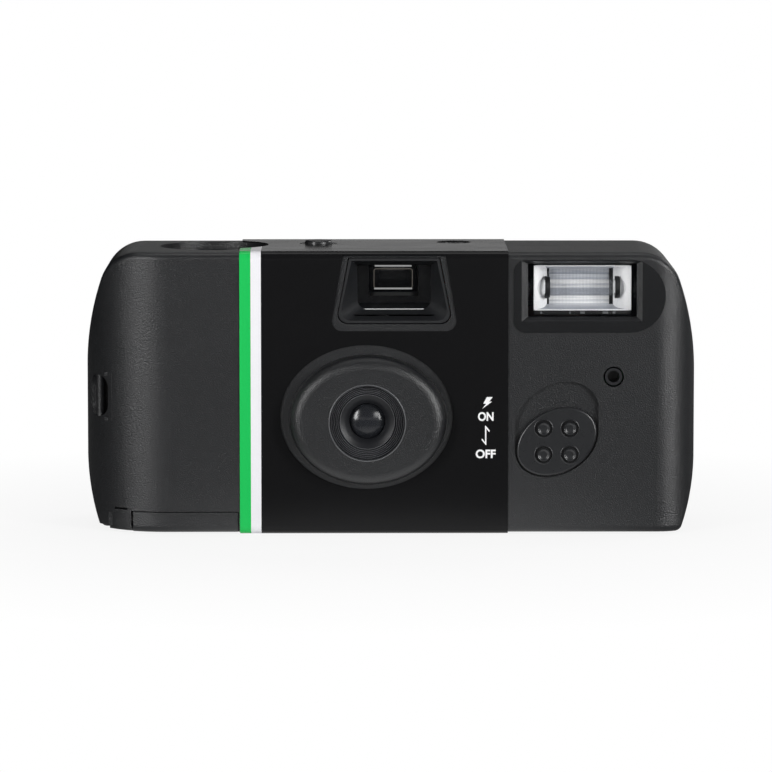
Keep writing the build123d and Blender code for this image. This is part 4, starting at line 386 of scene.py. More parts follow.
printed = add(tree, "ShaderNodeMix", {
    0: plain_part.outputs[0], 6: striped.outputs[2], 7: ink["black"]}, data_type="RGBA")
ripple = add(tree, "ShaderNodeTexNoise", {"Vector": mm, "Scale": 1 / RIPPLE_MM, "Detail": 1.0})
relief = add(tree, "ShaderNodeBump", {"Height": ripple.outputs["Fac"], "Strength": 0.5, "Distance": 0.0001})
tree.links.new(printed.outputs[2], shader.inputs["Base Color"])
tree.links.new(relief.outputs[0], shader.inputs["Normal"])
dress(label, "label_wrap")
print("stripes end at", STRIPE_GREEN_MM, "and", STRIPE_WHITE_MM, "mm")

# %% [markdown]
# The charge lamp and the light pipe over it are moulded acrylic, clear and amber. Its refractive
# index is near 1.49, and what makes it visible is what it bends and reflects. A trace of mould
# flow is too fine to see but keeps the gloss from looking perfect.

# %% Lamp and light pipe
ACRYLIC_IOR = 1.49
FLOW_MM = 3


def clear(name, colour, roughness):
    """Acrylic that light passes through and is bent by."""
    material, tree, mm, shader = finish(name, **{
        "Base Color": linear(colour), "IOR": ACRYLIC_IOR, "Roughness": roughness, "Transmission Weight": 1.0})
    flow = add(tree, "ShaderNodeTexNoise", {"Vector": mm, "Scale": 1 / FLOW_MM, "Detail": 1.0})
    relief = add(tree, "ShaderNodeBump", {
        "Height": flow.outputs["Fac"], "Strength": 0.08, "Distance": 0.00002})
    tree.links.new(relief.outputs[0], shader.inputs["Normal"])
    return material


dress(clear("clear_acrylic", "#f4f8fa", 0.02), "charge_lamp")
dress(clear("amber_acrylic", "#ff7a2c", 0.1), "light_pipe")
print("lamp and pipe dressed")

# %% [markdown]
# A flat window hardly bends what is behind it, so it is made by coverage instead: the surface covers a
# twentieth of what it shows, and its gloss lies on top. Light passes it both ways, which keeps the reflector
# behind the flash window bright and clean. The flash tube covers a little more. The eyepiece is nearly black:
# painted shade for the dark room that shows through it. The lens covers nearly all in near black: painted
# shade for the dark box behind it, where the film is.

# %% Windows, lens and flash tube
HAZE_MM = 5


def window(name, colour, coverage, roughness):
    """A clear sheet that hides as much of what is behind it as its coverage says."""
    material, tree, mm, shader = finish(name, **{
        "IOR": ACRYLIC_IOR, "Roughness": roughness, "Alpha": coverage})
    haze = add(tree, "ShaderNodeTexNoise", {"Vector": mm, "Scale": 1 / HAZE_MM, "Detail": 1.0})
    tone = add(tree, "ShaderNodeMix", {
        0: haze.outputs["Fac"], 6: linear(colour), 7: linear("#2a2c30")}, data_type="RGBA")
    tree.links.new(tone.outputs[2], shader.inputs["Base Color"])
    return material


pane = window("window_acrylic", "#202226", 0.05, 0.03)
# The near black of these two finishes is painted shade: for the dark room behind the eyepiece, and for the
# dark box behind the lens.
eyepiece_painted_dark = window("acrylic_painted_dark_room", "#060607", 0.96, 0.08)
lens_painted_dark = window("lens_acrylic_painted_dark_box", "#0b0b0e", 0.92, 0.19)
tube_glass = window("quartz_tube", "#dfe3ea", 0.14, 0.05)
dress(pane, "viewfinder_front_lens", "counter_window", "flash_window")
dress(eyepiece_painted_dark, "viewfinder_eyepiece")
dress(lens_painted_dark, "taking_lens")
dress(tube_glass, "flash_tube")
print("clear pieces dressed")

# %% [markdown]
# Sheet metal is rolled, which leaves fine lines along one direction. The pressure plate, the
# blade and the aperture plate are blackened. Springs and levers are bare steel. Contacts are
# brass with a thin plate, and the film cartridge is lacquered tin.

# %% Metals
LINE_LENGTH = 20


def rolled_metal(name, dark, pale, roughness, line_mm, metallic=1.0):
    """Sheet or wire with fine lines, twenty times as long as they are wide."""
    material, tree, mm, shader = finish(name, **{"Metallic": metallic})
    stretch = add(tree, "ShaderNodeVectorMath", {
        0: mm, 1: (1 / (line_mm * LINE_LENGTH), 1 / line_mm, 1 / line_mm)}, operation="MULTIPLY")
    lines = add(tree, "ShaderNodeTexNoise", {"Vector": stretch.outputs[0], "Scale": 1.0, "Detail": 3.0})
    tone = add(tree, "ShaderNodeMix", {
        0: lines.outputs["Fac"], 6: linear(dark), 7: linear(pale)}, data_type="RGBA")
    rough = add(tree, "ShaderNodeMapRange", {
        "Value": lines.outputs["Fac"], "To Min": roughness - 0.08, "To Max": roughness + 0.1})
    relief = add(tree, "ShaderNodeBump", {
        "Height": lines.outputs["Fac"], "Strength": 0.2, "Distance": 0.00001})
    tree.links.new(tone.outputs[2], shader.inputs["Base Color"])
    tree.links.new(rough.outputs[0], shader.inputs["Roughness"])
    tree.links.new(relief.outputs[0], shader.inputs["Normal"])
    return material


steel = rolled_metal("rolled_spring_steel", "#8c8d8e", "#b4b5b6", 0.34, 0.15)
blackened = rolled_metal("blackened_steel", "#0b0b0c", "#121213", 0.5, 0.4, 0.3)
brass = rolled_metal("plated_brass_strip", "#c7a45e", "#e0c07a", 0.3, 0.15)
tin = rolled_metal("lacquered_tin_plate", "#7d8083", "#9a9da0", 0.36, 0.2, 0.85)
dress(steel, "striker_lever", "ratchet_pawl", "counter_pawl", "striker_spring", "button_spring")
dress(blackened, "aperture_plate", "shutter_blade", "pressure_plate")
dress(brass, "switch_contact", "sync_contact", "battery_contact_positive", "battery_contact_negative")
dress(tin, "cartridge_shell", "cartridge_caps")
print("metals dressed")

# %% [markdown]
# Film is a clear base with a grey-brown coating: glossy on the base side. Wound up, the edges
# of its turns show as fine rings round the spool. They are drawn a few times wider than they
# are, so that they show. Felt in the cartridge's mouth keeps light out: it is a dense black pile.

# %% Film and felt
TURN_MM, STREAK_MM, PILE_MM = 0.3, 6, 0.12


def wound_film(name, axis_x, axis_y):
    """Film seen on the edges of its turns, round an upright axis."""
    material, tree, mm, shader = finish(name, **{"Roughness": 0.25, "Specular IOR Level": 0.5})
    from_axis = add(tree, "ShaderNodeVectorMath", {0: mm, 1: (axis_x, axis_y, 0)}, operation="SUBTRACT")
    level = add(tree, "ShaderNodeVectorMath", {0: from_axis.outputs[0], 1: (1, 1, 0)}, operation="MULTIPLY")
    radius = add(tree, "ShaderNodeVectorMath", {0: level.outputs[0]}, operation="LENGTH")
    turns = add(tree, "ShaderNodeMath", {0: radius.outputs["Value"], 1: TURN_MM}, operation="PINGPONG")
    tone = add(tree, "ShaderNodeValToRGB", {
        "Fac": turns.outputs[0]}, stops=((0.0, "#2e2320"), (TURN_MM, "#4a3a34")))
    tree.links.new(tone.outputs["Color"], shader.inputs["Base Color"])
    return material


film_base, tree, mm, shader = finish("film_base", **{"Roughness": 0.2, "Specular IOR Level": 0.5})
streak = add(tree, "ShaderNodeTexNoise", {"Vector": mm, "Scale": 1 / STREAK_MM, "Detail": 2.0})
tone = add(tree, "ShaderNodeValToRGB", {
    "Fac": streak.outputs["Fac"]}, stops=((0.3, "#3b2f2a"), (0.7, "#4a3b34")))
tree.links.new(tone.outputs["Color"], shader.inputs["Base Color"])
felt, tree, mm, shader = finish("black_felt", **{
    "Roughness": 0.95, "Sheen Weight": 0.4, "Specular IOR Level": 0.1})
pile = add(tree, "ShaderNodeTexNoise", {"Vector": mm, "Scale": 1 / PILE_MM, "Detail": 4.0})
tone = add(tree, "ShaderNodeValToRGB", {
    "Fac": pile.outputs["Fac"]}, stops=((0.3, "#060606"), (0.7, "#161616")))
tree.links.new(tone.outputs["Color"], shader.inputs["Base Color"])
dress(film_base, "film_strip")
dress(wound_film("wound_film_supply", 30.0, 4.0), "film_roll")
dress(wound_film("wound_film_cartridge", -38.2, 2.9), "spool_film")
dress(felt, "cartridge_felt")
print("film dressed")

# %% [markdown]
# The flash circuit sits on a phenolic board with green solder mask. Its parts have the look that
# gives them away: a black shrunk sleeve on the capacitor, yellow tape on the transformer, a
# moulded transistor, and resistors with coloured bands. Such a part changes colour along its
# length, so a ramp with hard steps paints it.

# %% Flash circuit and battery
TRACK_MM, WEAR_MM = 6, 0.4


def banded(name, axis, start_mm, length_mm, stops, roughness=0.4, specular=0.4, metallic=0.0):
    """Colours in bands along one axis, over a length in millimetres from a start."""
    material, tree, mm, shader = finish(name, **{
        "Roughness": roughness, "Specular IOR Level": specular, "Metallic": metallic})
    place = add(tree, "ShaderNodeSeparateXYZ", {0: mm})
    share = add(tree, "ShaderNodeMapRange", {
        "Value": place.outputs[axis], "From Min": start_mm, "From Max": start_mm + length_mm})
    band = add(tree, "ShaderNodeValToRGB", {"Fac": share.outputs[0]}, stops=stops)
    band.color_ramp.interpolation = "CONSTANT"
    wear = add(tree, "ShaderNodeTexNoise", {"Vector": mm, "Scale": 1 / WEAR_MM, "Detail": 2.0})
    rubbed = add(tree, "ShaderNodeMapRange", {"Value": wear.outputs["Fac"], "To Min": 0.85, "To Max": 1.1})
    tone = add(tree, "ShaderNodeMix", {
        0: 1.0, 6: band.outputs["Color"], 7: rubbed.outputs[0]}, data_type="RGBA", blend_type="MULTIPLY")
    tree.links.new(tone.outputs[2], shader.inputs["Base Color"])
    return material


board, tree, mm, shader = finish("phenolic_board_with_mask", **{"Roughness": 0.35, "Specular IOR Level": 0.4})
tracks = add(tree, "ShaderNodeTexBrick", {
    "Vector": mm, "Color1": linear("#1f6b3a"), "Color2": linear("#237a42"),
    "Mortar": linear("#2f9052"), "Scale": 1 / TRACK_MM, "Mortar Size": 0.05})
tree.links.new(tracks.outputs["Color"], shader.inputs["Base Color"])
taped = banded("taped_winding", "X", 43.5, 7.0, ((0.0, "#2b2a28"), (0.16, "#d9a514"), (0.84, "#2b2a28")))
lacquered = banded("lacquered_coil", "X", 42.0, 7.0, ((0.0, "#2a2522"), (0.12, "#8a3c1e"), (0.88, "#2a2522")))
ringed = banded("banded_resistor", "Z", 29.6, 5.6, (
    (0.0, "#c9b184"), (0.2, "#8a2a1c"), (0.3, "#c9b184"), (0.42, "#2d2d2d"), (0.52, "#c9b184"),
    (0.7, "#b8892c"), (0.8, "#c9b184")))
shrunk = banded("shrunk_sleeve", "Z", 7.0, 29.5, ((0.0, "#9a9c9f"), (0.065, "#17181d"), (0.97, "#9a9c9f")))
jacket = banded("printed_cell_jacket", "X", -22.6, 44.5, (
    (0.0, "#b9bcc0"), (0.04, "#1c2f55"), (0.72, "#b98a2e"), (0.95, "#b9bcc0"),
    (0.98, "#c7cacd")), roughness=0.3, specular=0.5, metallic=0.6)
dress(board, "flash_board")
dress(taped, "transformer")
dress(lacquered, "trigger_coil")
dress(ringed, "board_resistors")
dress(shrunk, "main_capacitor")
dress(jacket, "battery")
dress(moulding("moulded_epoxy", "#1b1b1c", "#232324", 0.55, 0.35, 0.3), "transistor")
dress(moulding("silicone_boot", "#1c1c1e", "#2a2a2c", 0.6, 0.3, 0.3), "flash_tube_boots")
print("circuit dressed")

# %% [markdown]
# Two things inside show through their windows. The dial is dark polystyrene with pale numbers.
# The flash reflector is bright anodised aluminium. A true mirror would show only the dim room of this studio,
# so the bands of reflection that the photograph has in it are painted reflections: a ramp of tones, given one
# by one, on a pale sheet with a clear gloss. Fine streaks break the bands, and low ribs dent the surface.

# %% Dial and reflector finishes
RIB_MM = 0.62
REFLECTOR_LOW_MM, REFLECTOR_HEIGHT_MM = 40.25, 8.05
WAVES_PER_RIB = 0.314
PAINTED_REFLECTION_BANDS = (
    (0.03, "#b9bdc4"), (0.1, "#cfd2d7"), (0.13, "#ffffff"), (0.17, "#d6d9de"), (0.21, "#ffffff"),
    (0.26, "#ffffff"), (0.3, "#8f949e"), (0.33, "#a3a8b1"), (0.44, "#9da2ac"), (0.48, "#ffffff"),
    (0.53, "#ced1d6"), (0.57, "#ffffff"), (0.63, "#ffffff"), (0.66, "#a9adb6"), (0.75, "#d2d5da"),
    (0.78, "#8f949e"), (0.81, "#b4b8bf"), (0.97, "#c3c6cc"))
dress(moulding("dark_polystyrene", "#1a1a1b", "#212122", 0.45, 0.25, 0.5), "counter_dial")
bright, tree, mm, shader = finish("anodised_aluminium_painted_reflections", **{
    "Metallic": 0.05, "Roughness": 0.2, "Specular IOR Level": 0.8})
drawn = add(tree, "ShaderNodeVectorMath", {0: mm, 1: (0.1, 3.0, 3.0)}, operation="MULTIPLY")
streaks = add(tree, "ShaderNodeTexNoise", {"Vector": drawn.outputs[0], "Scale": 1.6, "Detail": 3.0})
ribs = add(tree, "ShaderNodeTexWave", {
    "Vector": mm, "Scale": WAVES_PER_RIB / RIB_MM, "Distortion": 0.6}, bands_direction="X")
place = add(tree, "ShaderNodeSeparateXYZ", {0: mm})
up = add(tree, "ShaderNodeMapRange", {
    "Value": place.outputs["Z"], "From Min": REFLECTOR_LOW_MM,
    "From Max": REFLECTOR_LOW_MM + REFLECTOR_HEIGHT_MM})
# This ramp paints the reflections as bands of tone up the height of the trough.
painted_reflections = add(tree, "ShaderNodeValToRGB", {"Fac": up.outputs[0]}, stops=PAINTED_REFLECTION_BANDS)
worn = add(tree, "ShaderNodeValToRGB", {
    "Fac": streaks.outputs["Fac"]}, stops=((0.34, "#cfd2d7"), (0.52, "#ffffff")))
reflection_bands_and_streaks = add(tree, "ShaderNodeMix", {
    0: 0.6, 6: painted_reflections.outputs["Color"], 7: worn.outputs["Color"]}, data_type="RGBA", blend_type="MULTIPLY")
surface = add(tree, "ShaderNodeMath", {
    0: ribs.outputs["Fac"], 1: 0.6, 2: streaks.outputs["Fac"]}, operation="MULTIPLY_ADD")
dents = add(tree, "ShaderNodeBump", {"Height": surface.outputs[0], "Strength": 0.5, "Distance": 0.0001})
tree.links.new(reflection_bands_and_streaks.outputs[2], shader.inputs["Base Color"])
tree.links.new(dents.outputs[0], shader.inputs["Normal"])
dress(bright, "flash_reflector")
print("dial and reflector dressed")

# %% [markdown]
# New pieces are modelled with bmesh, in millimetres, and scaled to metres at the end. One helper
# closes a piece: it makes the mesh, turns its faces outwards, shades it smooth up to its sharp
# edges, and lets it ride on its body. The others are the few moves that most pieces share: a row
# of edges, a profile turned on a lathe, a face drawn out, a rounded bar and a rounded frame.

# %% Helpers for new pieces
WELD_MM = 0.0005


def node_box(name):
    """Lowest and highest corner of a CAD node, in millimetres."""
    low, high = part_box(name)
    return Vector(low) / MM, Vector(high) / MM


def edges_in(geometry):
    return [part for part in geometry if isinstance(part, bmesh.types.BMEdge)]


def verts_in(geometry):
    return [part for part in geometry if isinstance(part, bmesh.types.BMVert)]


def row_of_edges(bm, points, close=True):
    """A few vertices joined in a row, which other moves then turn into a shape."""
    corners = [bm.verts.new(point) for point in points]
    pairs = zip(corners, corners[1:] + corners[:1]) if close else zip(corners, corners[1:])
    return corners + [bm.edges.new(pair) for pair in pairs]


def turned(bm, points, centre, steps, axis=(0, 1, 0), close=True):
    """A row of points turned a full circle round an axis through a centre, as on a lathe."""
    geometry = row_of_edges(bm, points, close)
    bmesh.ops.spin(
        bm, geom=geometry, cent=centre, axis=axis, dvec=(0, 0, 0), angle=math.tau, steps=steps,
        use_merge=True)


def beside(centre, profile):
    """A profile of radius and depth, set beside an axis that runs front to back."""
    return [(centre[0] + radius, centre[1] + depth, centre[2]) for radius, depth in profile]


def draw_out(bm, way):
    """Gives flat faces a thickness."""
    drawn = bmesh.ops.extrude_face_region(bm, geom=bm.faces[:])
    bmesh.ops.translate(bm, vec=way, verts=verts_in(drawn["geom"]))


def rounded_bar(bm, low, high, bevel):
    """A bar between two corners with its edges rounded."""
    size = Vector(high) - Vector(low)
    middle = (Vector(high) + Vector(low)) / 2
    made = bmesh.ops.create_cube(bm, size=1, matrix=Matrix.Translation(middle) @ Matrix.Diagonal((*size, 1)))
    edges = {edge for vert in made["verts"] for edge in vert.link_edges}
    bmesh.ops.bevel(
        bm, geom=list(edges), offset=bevel, affect="EDGES", segments=2, profile=0.5, material=-1)


def rounded_frame(bm, centre, half, radius, width, y, depth, corner_steps=6):
    """A flat frame with round corners: an outline, inset, and given a thickness."""
    outline = []
    for corner in range(4):
        across = half[0] - radius if corner in (0, 3) else radius - half[0]
        up = half[1] - radius if corner in (0, 1) else radius - half[1]
        for step in range(corner_steps + 1):
            angle = (corner + step / corner_steps) * math.pi / 2
            outline.append((
                centre[0] + across + radius * math.cos(angle), y,
                centre[1] + up + radius * math.sin(angle)))
    face = bmesh.ops.contextual_create(bm, geom=edges_in(row_of_edges(bm, outline)))["faces"]
    bmesh.ops.inset_region(bm, faces=face, thickness=width, use_even_offset=True, use_boundary=True)
    bmesh.ops.delete(bm, geom=face, context="FACES")
    draw_out(bm, (0, depth, 0))


def make_piece(name, bm, material, body, sharp_degrees=35):
    """Closes a piece: its mesh, its normals, its shading, its finish and the body it rides on."""
    bmesh.ops.remove_doubles(bm, verts=bm.verts, dist=WELD_MM)
    bmesh.ops.recalc_face_normals(bm, faces=bm.faces)
    bmesh.ops.scale(bm, vec=(MM, MM, MM), verts=bm.verts)
    mesh = bpy.data.meshes.new(name)
    bm.to_mesh(mesh)
    bm.free()
    mesh.shade_smooth()
    mesh.set_sharp_from_angle(angle=math.radians(sharp_degrees))
    mesh.materials.append(material)
    piece = bpy.data.objects.new(name, mesh)
    bpy.context.scene.collection.objects.link(piece)
    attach(piece, body)
    print(name, len(mesh.polygons), "faces")
    return piece


print("helpers ready")

# %% [markdown]
# The ring that holds the lens is a turned shape: a funnel with fine steps like a thread, which
# break up stray light, then a thin lip and a smooth cone down to the lens. A lathe makes it from
# one profile, and so does spin: the profile is drawn once and turned a full circle.

# %% Lens ring
LENS_X, LENS_Z = -4.1, 20.53
STEP_COUNT, RING_STEPS = 5, 120
FUNNEL_RADIUS, FUNNEL_TAPER = 6.5, 1.5
FUNNEL_START, FUNNEL_FALL, LIP_FALL = 0.12, 0.6, 0.8
HAIR, GAP = 0.02, 0.05
lens_axis = (LENS_X, 0, LENS_Z)
low, high = node_box("lens_retainer")
ring_front, ring_back = low.y + HAIR, high.y - HAIR
ring_radius = (high.x - low.x) / 2 - GAP
lip_depth = ring_front + LIP_FALL
funnel = []
for step in range(STEP_COUNT):
    share = step / STEP_COUNT
    funnel.append((FUNNEL_RADIUS - FUNNEL_TAPER * share, ring_front + FUNNEL_START + FUNNEL_FALL * share))
profile = [(ring_radius, ring_back), (ring_radius, ring_front), (6.62, ring_front)]
for radius, depth in funnel:
    profile += [
        (radius, depth), (radius - 0.1, depth - 0.02),
        (radius - 0.13, depth + 0.3), (radius - 0.22, depth + 0.3)]
profile += [(4.98, lip_depth), (4.92, lip_depth - 0.14), (4.86, lip_depth)]
profile += [(4.2, lip_depth + 0.35), (3.6, lip_depth + 0.85), (3.28, lip_depth + 1.35), (3.25, ring_back)]
bm = bmesh.new()
turned(bm, beside(lens_axis, profile), lens_axis, RING_STEPS)
ring_abs = moulding("ring_abs", "#151619", "#1c1d20", 0.42, 0.4, 0.3)
lens_ring = make_piece("lens_ring", bm, ring_abs, "camera", 25)
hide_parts("lens_retainer")

# %% [markdown]
# The crests of those steps and of the lip are painted paler, a painted highlight for the light they catch,
# and from the front they are what draws the fine circles round the lens. Each is a thin ring of its own on
# its step.

# %% Crests of the steps
bm = bmesh.new()
for radius, depth in funnel + [(4.95, lip_depth - 0.12)]:
    crest = [
        (radius, depth + 0.02), (radius - 0.01, depth - 0.04),
        (radius - 0.06, depth - 0.05), (radius - 0.07, depth + 0.02)]
    turned(bm, beside(lens_axis, crest), lens_axis, RING_STEPS)
# The pale tone of the crests is a painted highlight.
crest_painted_highlight = moulding("abs_crest_painted_highlight", "#646569", "#707175", 0.3, 0.9, 0.3)
make_piece("ring_crests", bm, crest_painted_highlight, "camera", 60)

# %% [markdown]
# The lens itself is a small dome of acrylic. Its near black is painted shade for the dark box behind it, and
# it is read by its highlights alone, so its curve has to be smooth: it is turned as well, from an arc of
# twenty steps. A thin polished edge runs round the bore in front of it, and its pale tone is a painted
# highlight.

# %% Lens dome and bore edge
LENS_CURVE, ARC_STEPS, DOME_STEPS = 5.9, 20, 72
BORE_RADIUS, BORE_FRONT = 6.78, -17.25
low, high = node_box("taking_lens")
lens_radius = (high.x - low.x) / 2 - GAP
widest = math.asin(lens_radius / LENS_CURVE)
profile = []
for step in range(ARC_STEPS + 1):
    angle = widest * step / ARC_STEPS
    profile.append((LENS_CURVE * math.sin(angle), low.y + HAIR + LENS_CURVE * (1 - math.cos(angle))))
profile += [(lens_radius, high.y - HAIR), (0, high.y - HAIR)]
bm = bmesh.new()
turned(bm, beside(lens_axis, profile), lens_axis, DOME_STEPS, close=False)
lens_dome = make_piece("lens_dome", bm, lens_painted_dark, "camera", 60)
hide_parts("taking_lens")
edge_profile = [
    (BORE_RADIUS - 0.03, BORE_FRONT + 0.5), (BORE_RADIUS - 0.03, BORE_FRONT - 0.01),
    (BORE_RADIUS + 0.1, BORE_FRONT - 0.03), (BORE_RADIUS + 0.2, BORE_FRONT + 0.02)]
bm = bmesh.new()
turned(bm, beside(lens_axis, edge_profile), lens_axis, RING_STEPS)
# The bore edge is polished, and its pale tone is a painted highlight on top of that.
bore_edge_highlight = moulding("polished_abs_edge_painted_highlight", "#4a4b4d", "#5a5b5d", 0.22, 0.9, 0.3)
make_piece("bore_edge", bm, bore_edge_highlight, "camera", 60)

# %% [markdown]
# The flash reflector is a trough of bright sheet, bent round the tube and closed by two slanted
# cheeks. It is boxier than a round trough, so its section is a circle whose sine and cosine are
# raised to a power below one. The section is drawn in flat bands, drawn out along the tube, and
# cut by the two planes of the cheeks. The cuts are filled, and get a satin finish in place of
# the bright one, and a wall thickness finishes the sheet.

# %% Flash reflector
TUBE_Y, TUBE_Z, TUBE_RADIUS = -8.7, 44.2, 1.5
BAND_COUNT = 14
UPRIGHT_POWER, DEPTH_POWER = 0.6, 0.4
SHEET_MM, FROST_MM = 0.25, 0.5
low, high = node_box("flash_reflector")
mouth_y, deepest_y = low.y + HAIR, high.y - 0.4
mouth_left, mouth_right, mouth_low, mouth_high = 25.85, 43.3, 40.25, 48.3
back_left, back_right = 28.6, 39.8
middle_z, half_z = (mouth_low + mouth_high) / 2, (mouth_high - mouth_low) / 2
section = []
for band in range(BAND_COUNT + 1):
    turn = math.pi * (band / BAND_COUNT - 0.5)
    up = math.copysign(abs(math.sin(turn)) ** UPRIGHT_POWER, turn)
    inward = max(math.cos(turn), 0) ** DEPTH_POWER
    section.append((mouth_left, mouth_y + (deepest_y - mouth_y) * inward, middle_z + half_z * up))
bm = bmesh.new()
drawn = bmesh.ops.extrude_edge_only(bm, edges=edges_in(row_of_edges(bm, section, close=False)))
bmesh.ops.translate(bm, vec=(mouth_right - mouth_left, 0, 0), verts=verts_in(drawn["geom"]))
for mouth_x, back_x, side in ((mouth_left, back_left, -1), (mouth_right, back_right, 1)):
    along_cheek = Vector((back_x - mouth_x, deepest_y - mouth_y, 0))
    outward = Vector((along_cheek.y * side, -along_cheek.x * side, 0)).normalized()
    cut = bmesh.ops.bisect_plane(
        bm, geom=bm.verts[:] + bm.edges[:] + bm.faces[:], dist=0.0001,
        plane_co=(mouth_x, mouth_y, 0), plane_no=outward, clear_outer=True)
    rim = edges_in(cut["geom_cut"])
    ends = sorted((vert for edge in rim for vert in edge.verts), key=lambda vert: vert.co.z)
    rim.append(bm.edges.new((ends[0], ends[-1])))
    bmesh.ops.contextual_create(bm, geom=rim)
bmesh.ops.recalc_face_normals(bm, faces=bm.faces)
for face in bm.faces:
    face.material_index = 1 if len(face.verts) > 4 else 0
flash_trough = make_piece("flash_trough", bm, bright, "camera", 5)
satin, tree, mm, shader = finish("satin_anodised_aluminium", **{"Roughness": 0.4, "Specular IOR Level": 0.3})
frost = add(tree, "ShaderNodeTexNoise", {"Vector": mm, "Scale": 1 / FROST_MM, "Detail": 3.0})
tone = add(tree, "ShaderNodeValToRGB", {
    "Fac": frost.outputs["Fac"]}, stops=((0.3, "#f6f7f9"), (0.7, "#ffffff")))
tree.links.new(tone.outputs["Color"], shader.inputs["Base Color"])
flash_trough.data.materials.append(satin)
sheet = flash_trough.modifiers.new("sheet_thickness", "SOLIDIFY")
sheet.thickness = SHEET_MM * MM
sheet.offset = 0
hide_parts("flash_reflector")

# %% [markdown]
# The tube passes through the cheeks in black sleeves, and beside each sleeve stands a black bar: painted
# shade for a slot in the cheek. A rolled rim runs round the mouth. Under it a black strip with a few pale
# clips holds the lower lip: through the window it is a dark line.

# %% Tube sleeves, rim and clip strip
SLEEVE_LENGTH, SLEEVE_BORE, SLEEVE_WALL, SLEEVE_STEPS = 0.9, 0.05, 0.45, 48
SLOT_MARGIN, CLIP_BEVEL = 0.35, 0.06
RIM_CORNER, RIM_WIDTH, RIM_DEPTH = 0.35, 0.16, 0.1
boot_black = moulding("black_silicone_sleeve", "#101011", "#1a1a1b", 0.5, 0.3, 0.3)
bm = bmesh.new()
for sleeve_x in (27.9, 40.5):
    inner = TUBE_RADIUS + SLEEVE_BORE
    outer = inner + SLEEVE_WALL
    sleeve_end = sleeve_x + SLEEVE_LENGTH
    collar = [
        (sleeve_x, inner), (sleeve_end, inner), (sleeve_end, outer - 0.15), (sleeve_end - 0.3, outer),
        (sleeve_x, outer)]
    points = [(x, TUBE_Y, TUBE_Z + radius) for x, radius in collar]
    turned(bm, points, (0, TUBE_Y, TUBE_Z), SLEEVE_STEPS, axis=(1, 0, 0))
# The slot bars are solid and black: painted shade for the openings.
slot_low, slot_high = mouth_low + SLOT_MARGIN, mouth_high - SLOT_MARGIN
for slot_left, slot_right in ((28.35, 28.7), (39.55, 40.4)):
    rounded_bar(bm, (slot_left, deepest_y - 0.75, slot_low), (slot_right, deepest_y - 0.6, slot_high), 0.04)
make_piece("tube_sleeves", bm, boot_black, "camera")
mouth_middle = ((mouth_left + mouth_right) / 2, middle_z)
mouth_half = ((mouth_right - mouth_left) / 2 + HAIR, half_z + HAIR)
bm = bmesh.new()
rounded_frame(bm, mouth_middle, mouth_half, RIM_CORNER, RIM_WIDTH, mouth_y - 0.04, RIM_DEPTH)
make_piece("mouth_rim", bm, satin, "camera")
bm = bmesh.new()
strip_low = (mouth_left, mouth_y + 0.02, mouth_low - 0.75)
strip_high = (mouth_right, mouth_y + 0.5, mouth_low - 0.16)
rounded_bar(bm, strip_low, strip_high, 0.05)
make_piece("clip_strip", bm, boot_black, "camera")
clip_low, clip_high = mouth_low - 0.66, mouth_low - 0.22
bm = bmesh.new()
for clip_x, clip_width in ((27.0, 0.35), (32.2, 0.3), (34.2, 0.8), (38.2, 1.0), (40.0, 0.5)):
    clip_start, clip_end = (clip_x, mouth_y - 0.06, clip_low), (clip_x + clip_width, mouth_y + 0.3, clip_high)
    rounded_bar(bm, clip_start, clip_end, CLIP_BEVEL)
make_piece("lip_clips", bm, grey_acetal, "camera")

# %% [markdown]
# Inside its dark hood the finder shows a few bright lines: a rim round the eyepiece, a foot under it, a brow
# above it, and the lower edge of the front lens. Each is a slim frame or bar of clear plastic with a pale
# colour and a small glow of its own: a painted highlight for the light that polished edges catch and that
# clear plastic leads to its edges from elsewhere.

# %% Finder edges
BROW_Z = 46.4
EDGE_FRONT, EDGE_BACK = 0.14, 0.02
EYE_RIM_HALF, EYE_RIM_DROP = (3.6, 1.85), 0.7
EYE_RIM_CORNER, EYE_RIM_WIDTH, EYE_RIM_DEPTH = 0.45, 0.15, 0.09


def glint_finish(name, dark, pale, glow):
    """Clear plastic edges with a painted glint: pale, and glowing a little."""
    material = moulding(name, dark, pale, 0.3, 0.5, 0.4)
    shader = next(node for node in material.node_tree.nodes if node.type == "BSDF_PRINCIPLED")
    shader.inputs["Emission Color"].default_value = linear(pale)
    shader.inputs["Emission Strength"].default_value = glow
    return material


# Both finishes paint a glint: a pale colour and a glow stand for light caught on the edges.
pale_glint_edge = glint_finish("acrylic_edge_painted_glint", "#9a9c9b", "#c6c8c7", 0.55)
dim_glint_edge = glint_finish("acrylic_edge_dim_painted_glint", "#5c5751", "#7c766e", 0.4)
eyepiece_low, eyepiece_high = node_box("viewfinder_eyepiece")
front_low = node_box("viewfinder_front_lens")[0]
eye_x, eye_z = (eyepiece_low.x + eyepiece_high.x) / 2, (eyepiece_low.z + eyepiece_high.z) / 2
bm = bmesh.new()
rounded_frame(
    bm, (eye_x, eye_z - EYE_RIM_DROP), EYE_RIM_HALF, EYE_RIM_CORNER, EYE_RIM_WIDTH,
    eyepiece_low.y - 0.1, EYE_RIM_DEPTH)
make_piece("eyepiece_rim", bm, dim_glint_edge, "camera")
eye_front, eye_back = eyepiece_low.y - EDGE_FRONT, eyepiece_low.y - EDGE_BACK
lens_front, lens_back = front_low.y - 0.06, front_low.y + 0.05
for name, half, front, rear, lower, upper, bevel in (
        ("eyepiece_foot", 3.5, eye_front, eye_back, eye_z - 2.72, eye_z - 2.42, 0.04),
        ("eyepiece_brow", 3.4, eye_front, eye_back, BROW_Z - 0.22, BROW_Z + 0.22, 0.05),
        ("front_lens_edge", 7.1, lens_front, lens_back, front_low.z + 0.06, front_low.z + 0.17, 0.03)):
    bm = bmesh.new()
    rounded_bar(bm, (eye_x - half, front, lower), (eye_x + half, rear, upper), bevel)
    make_piece(name, bm, pale_glint_edge, "camera")
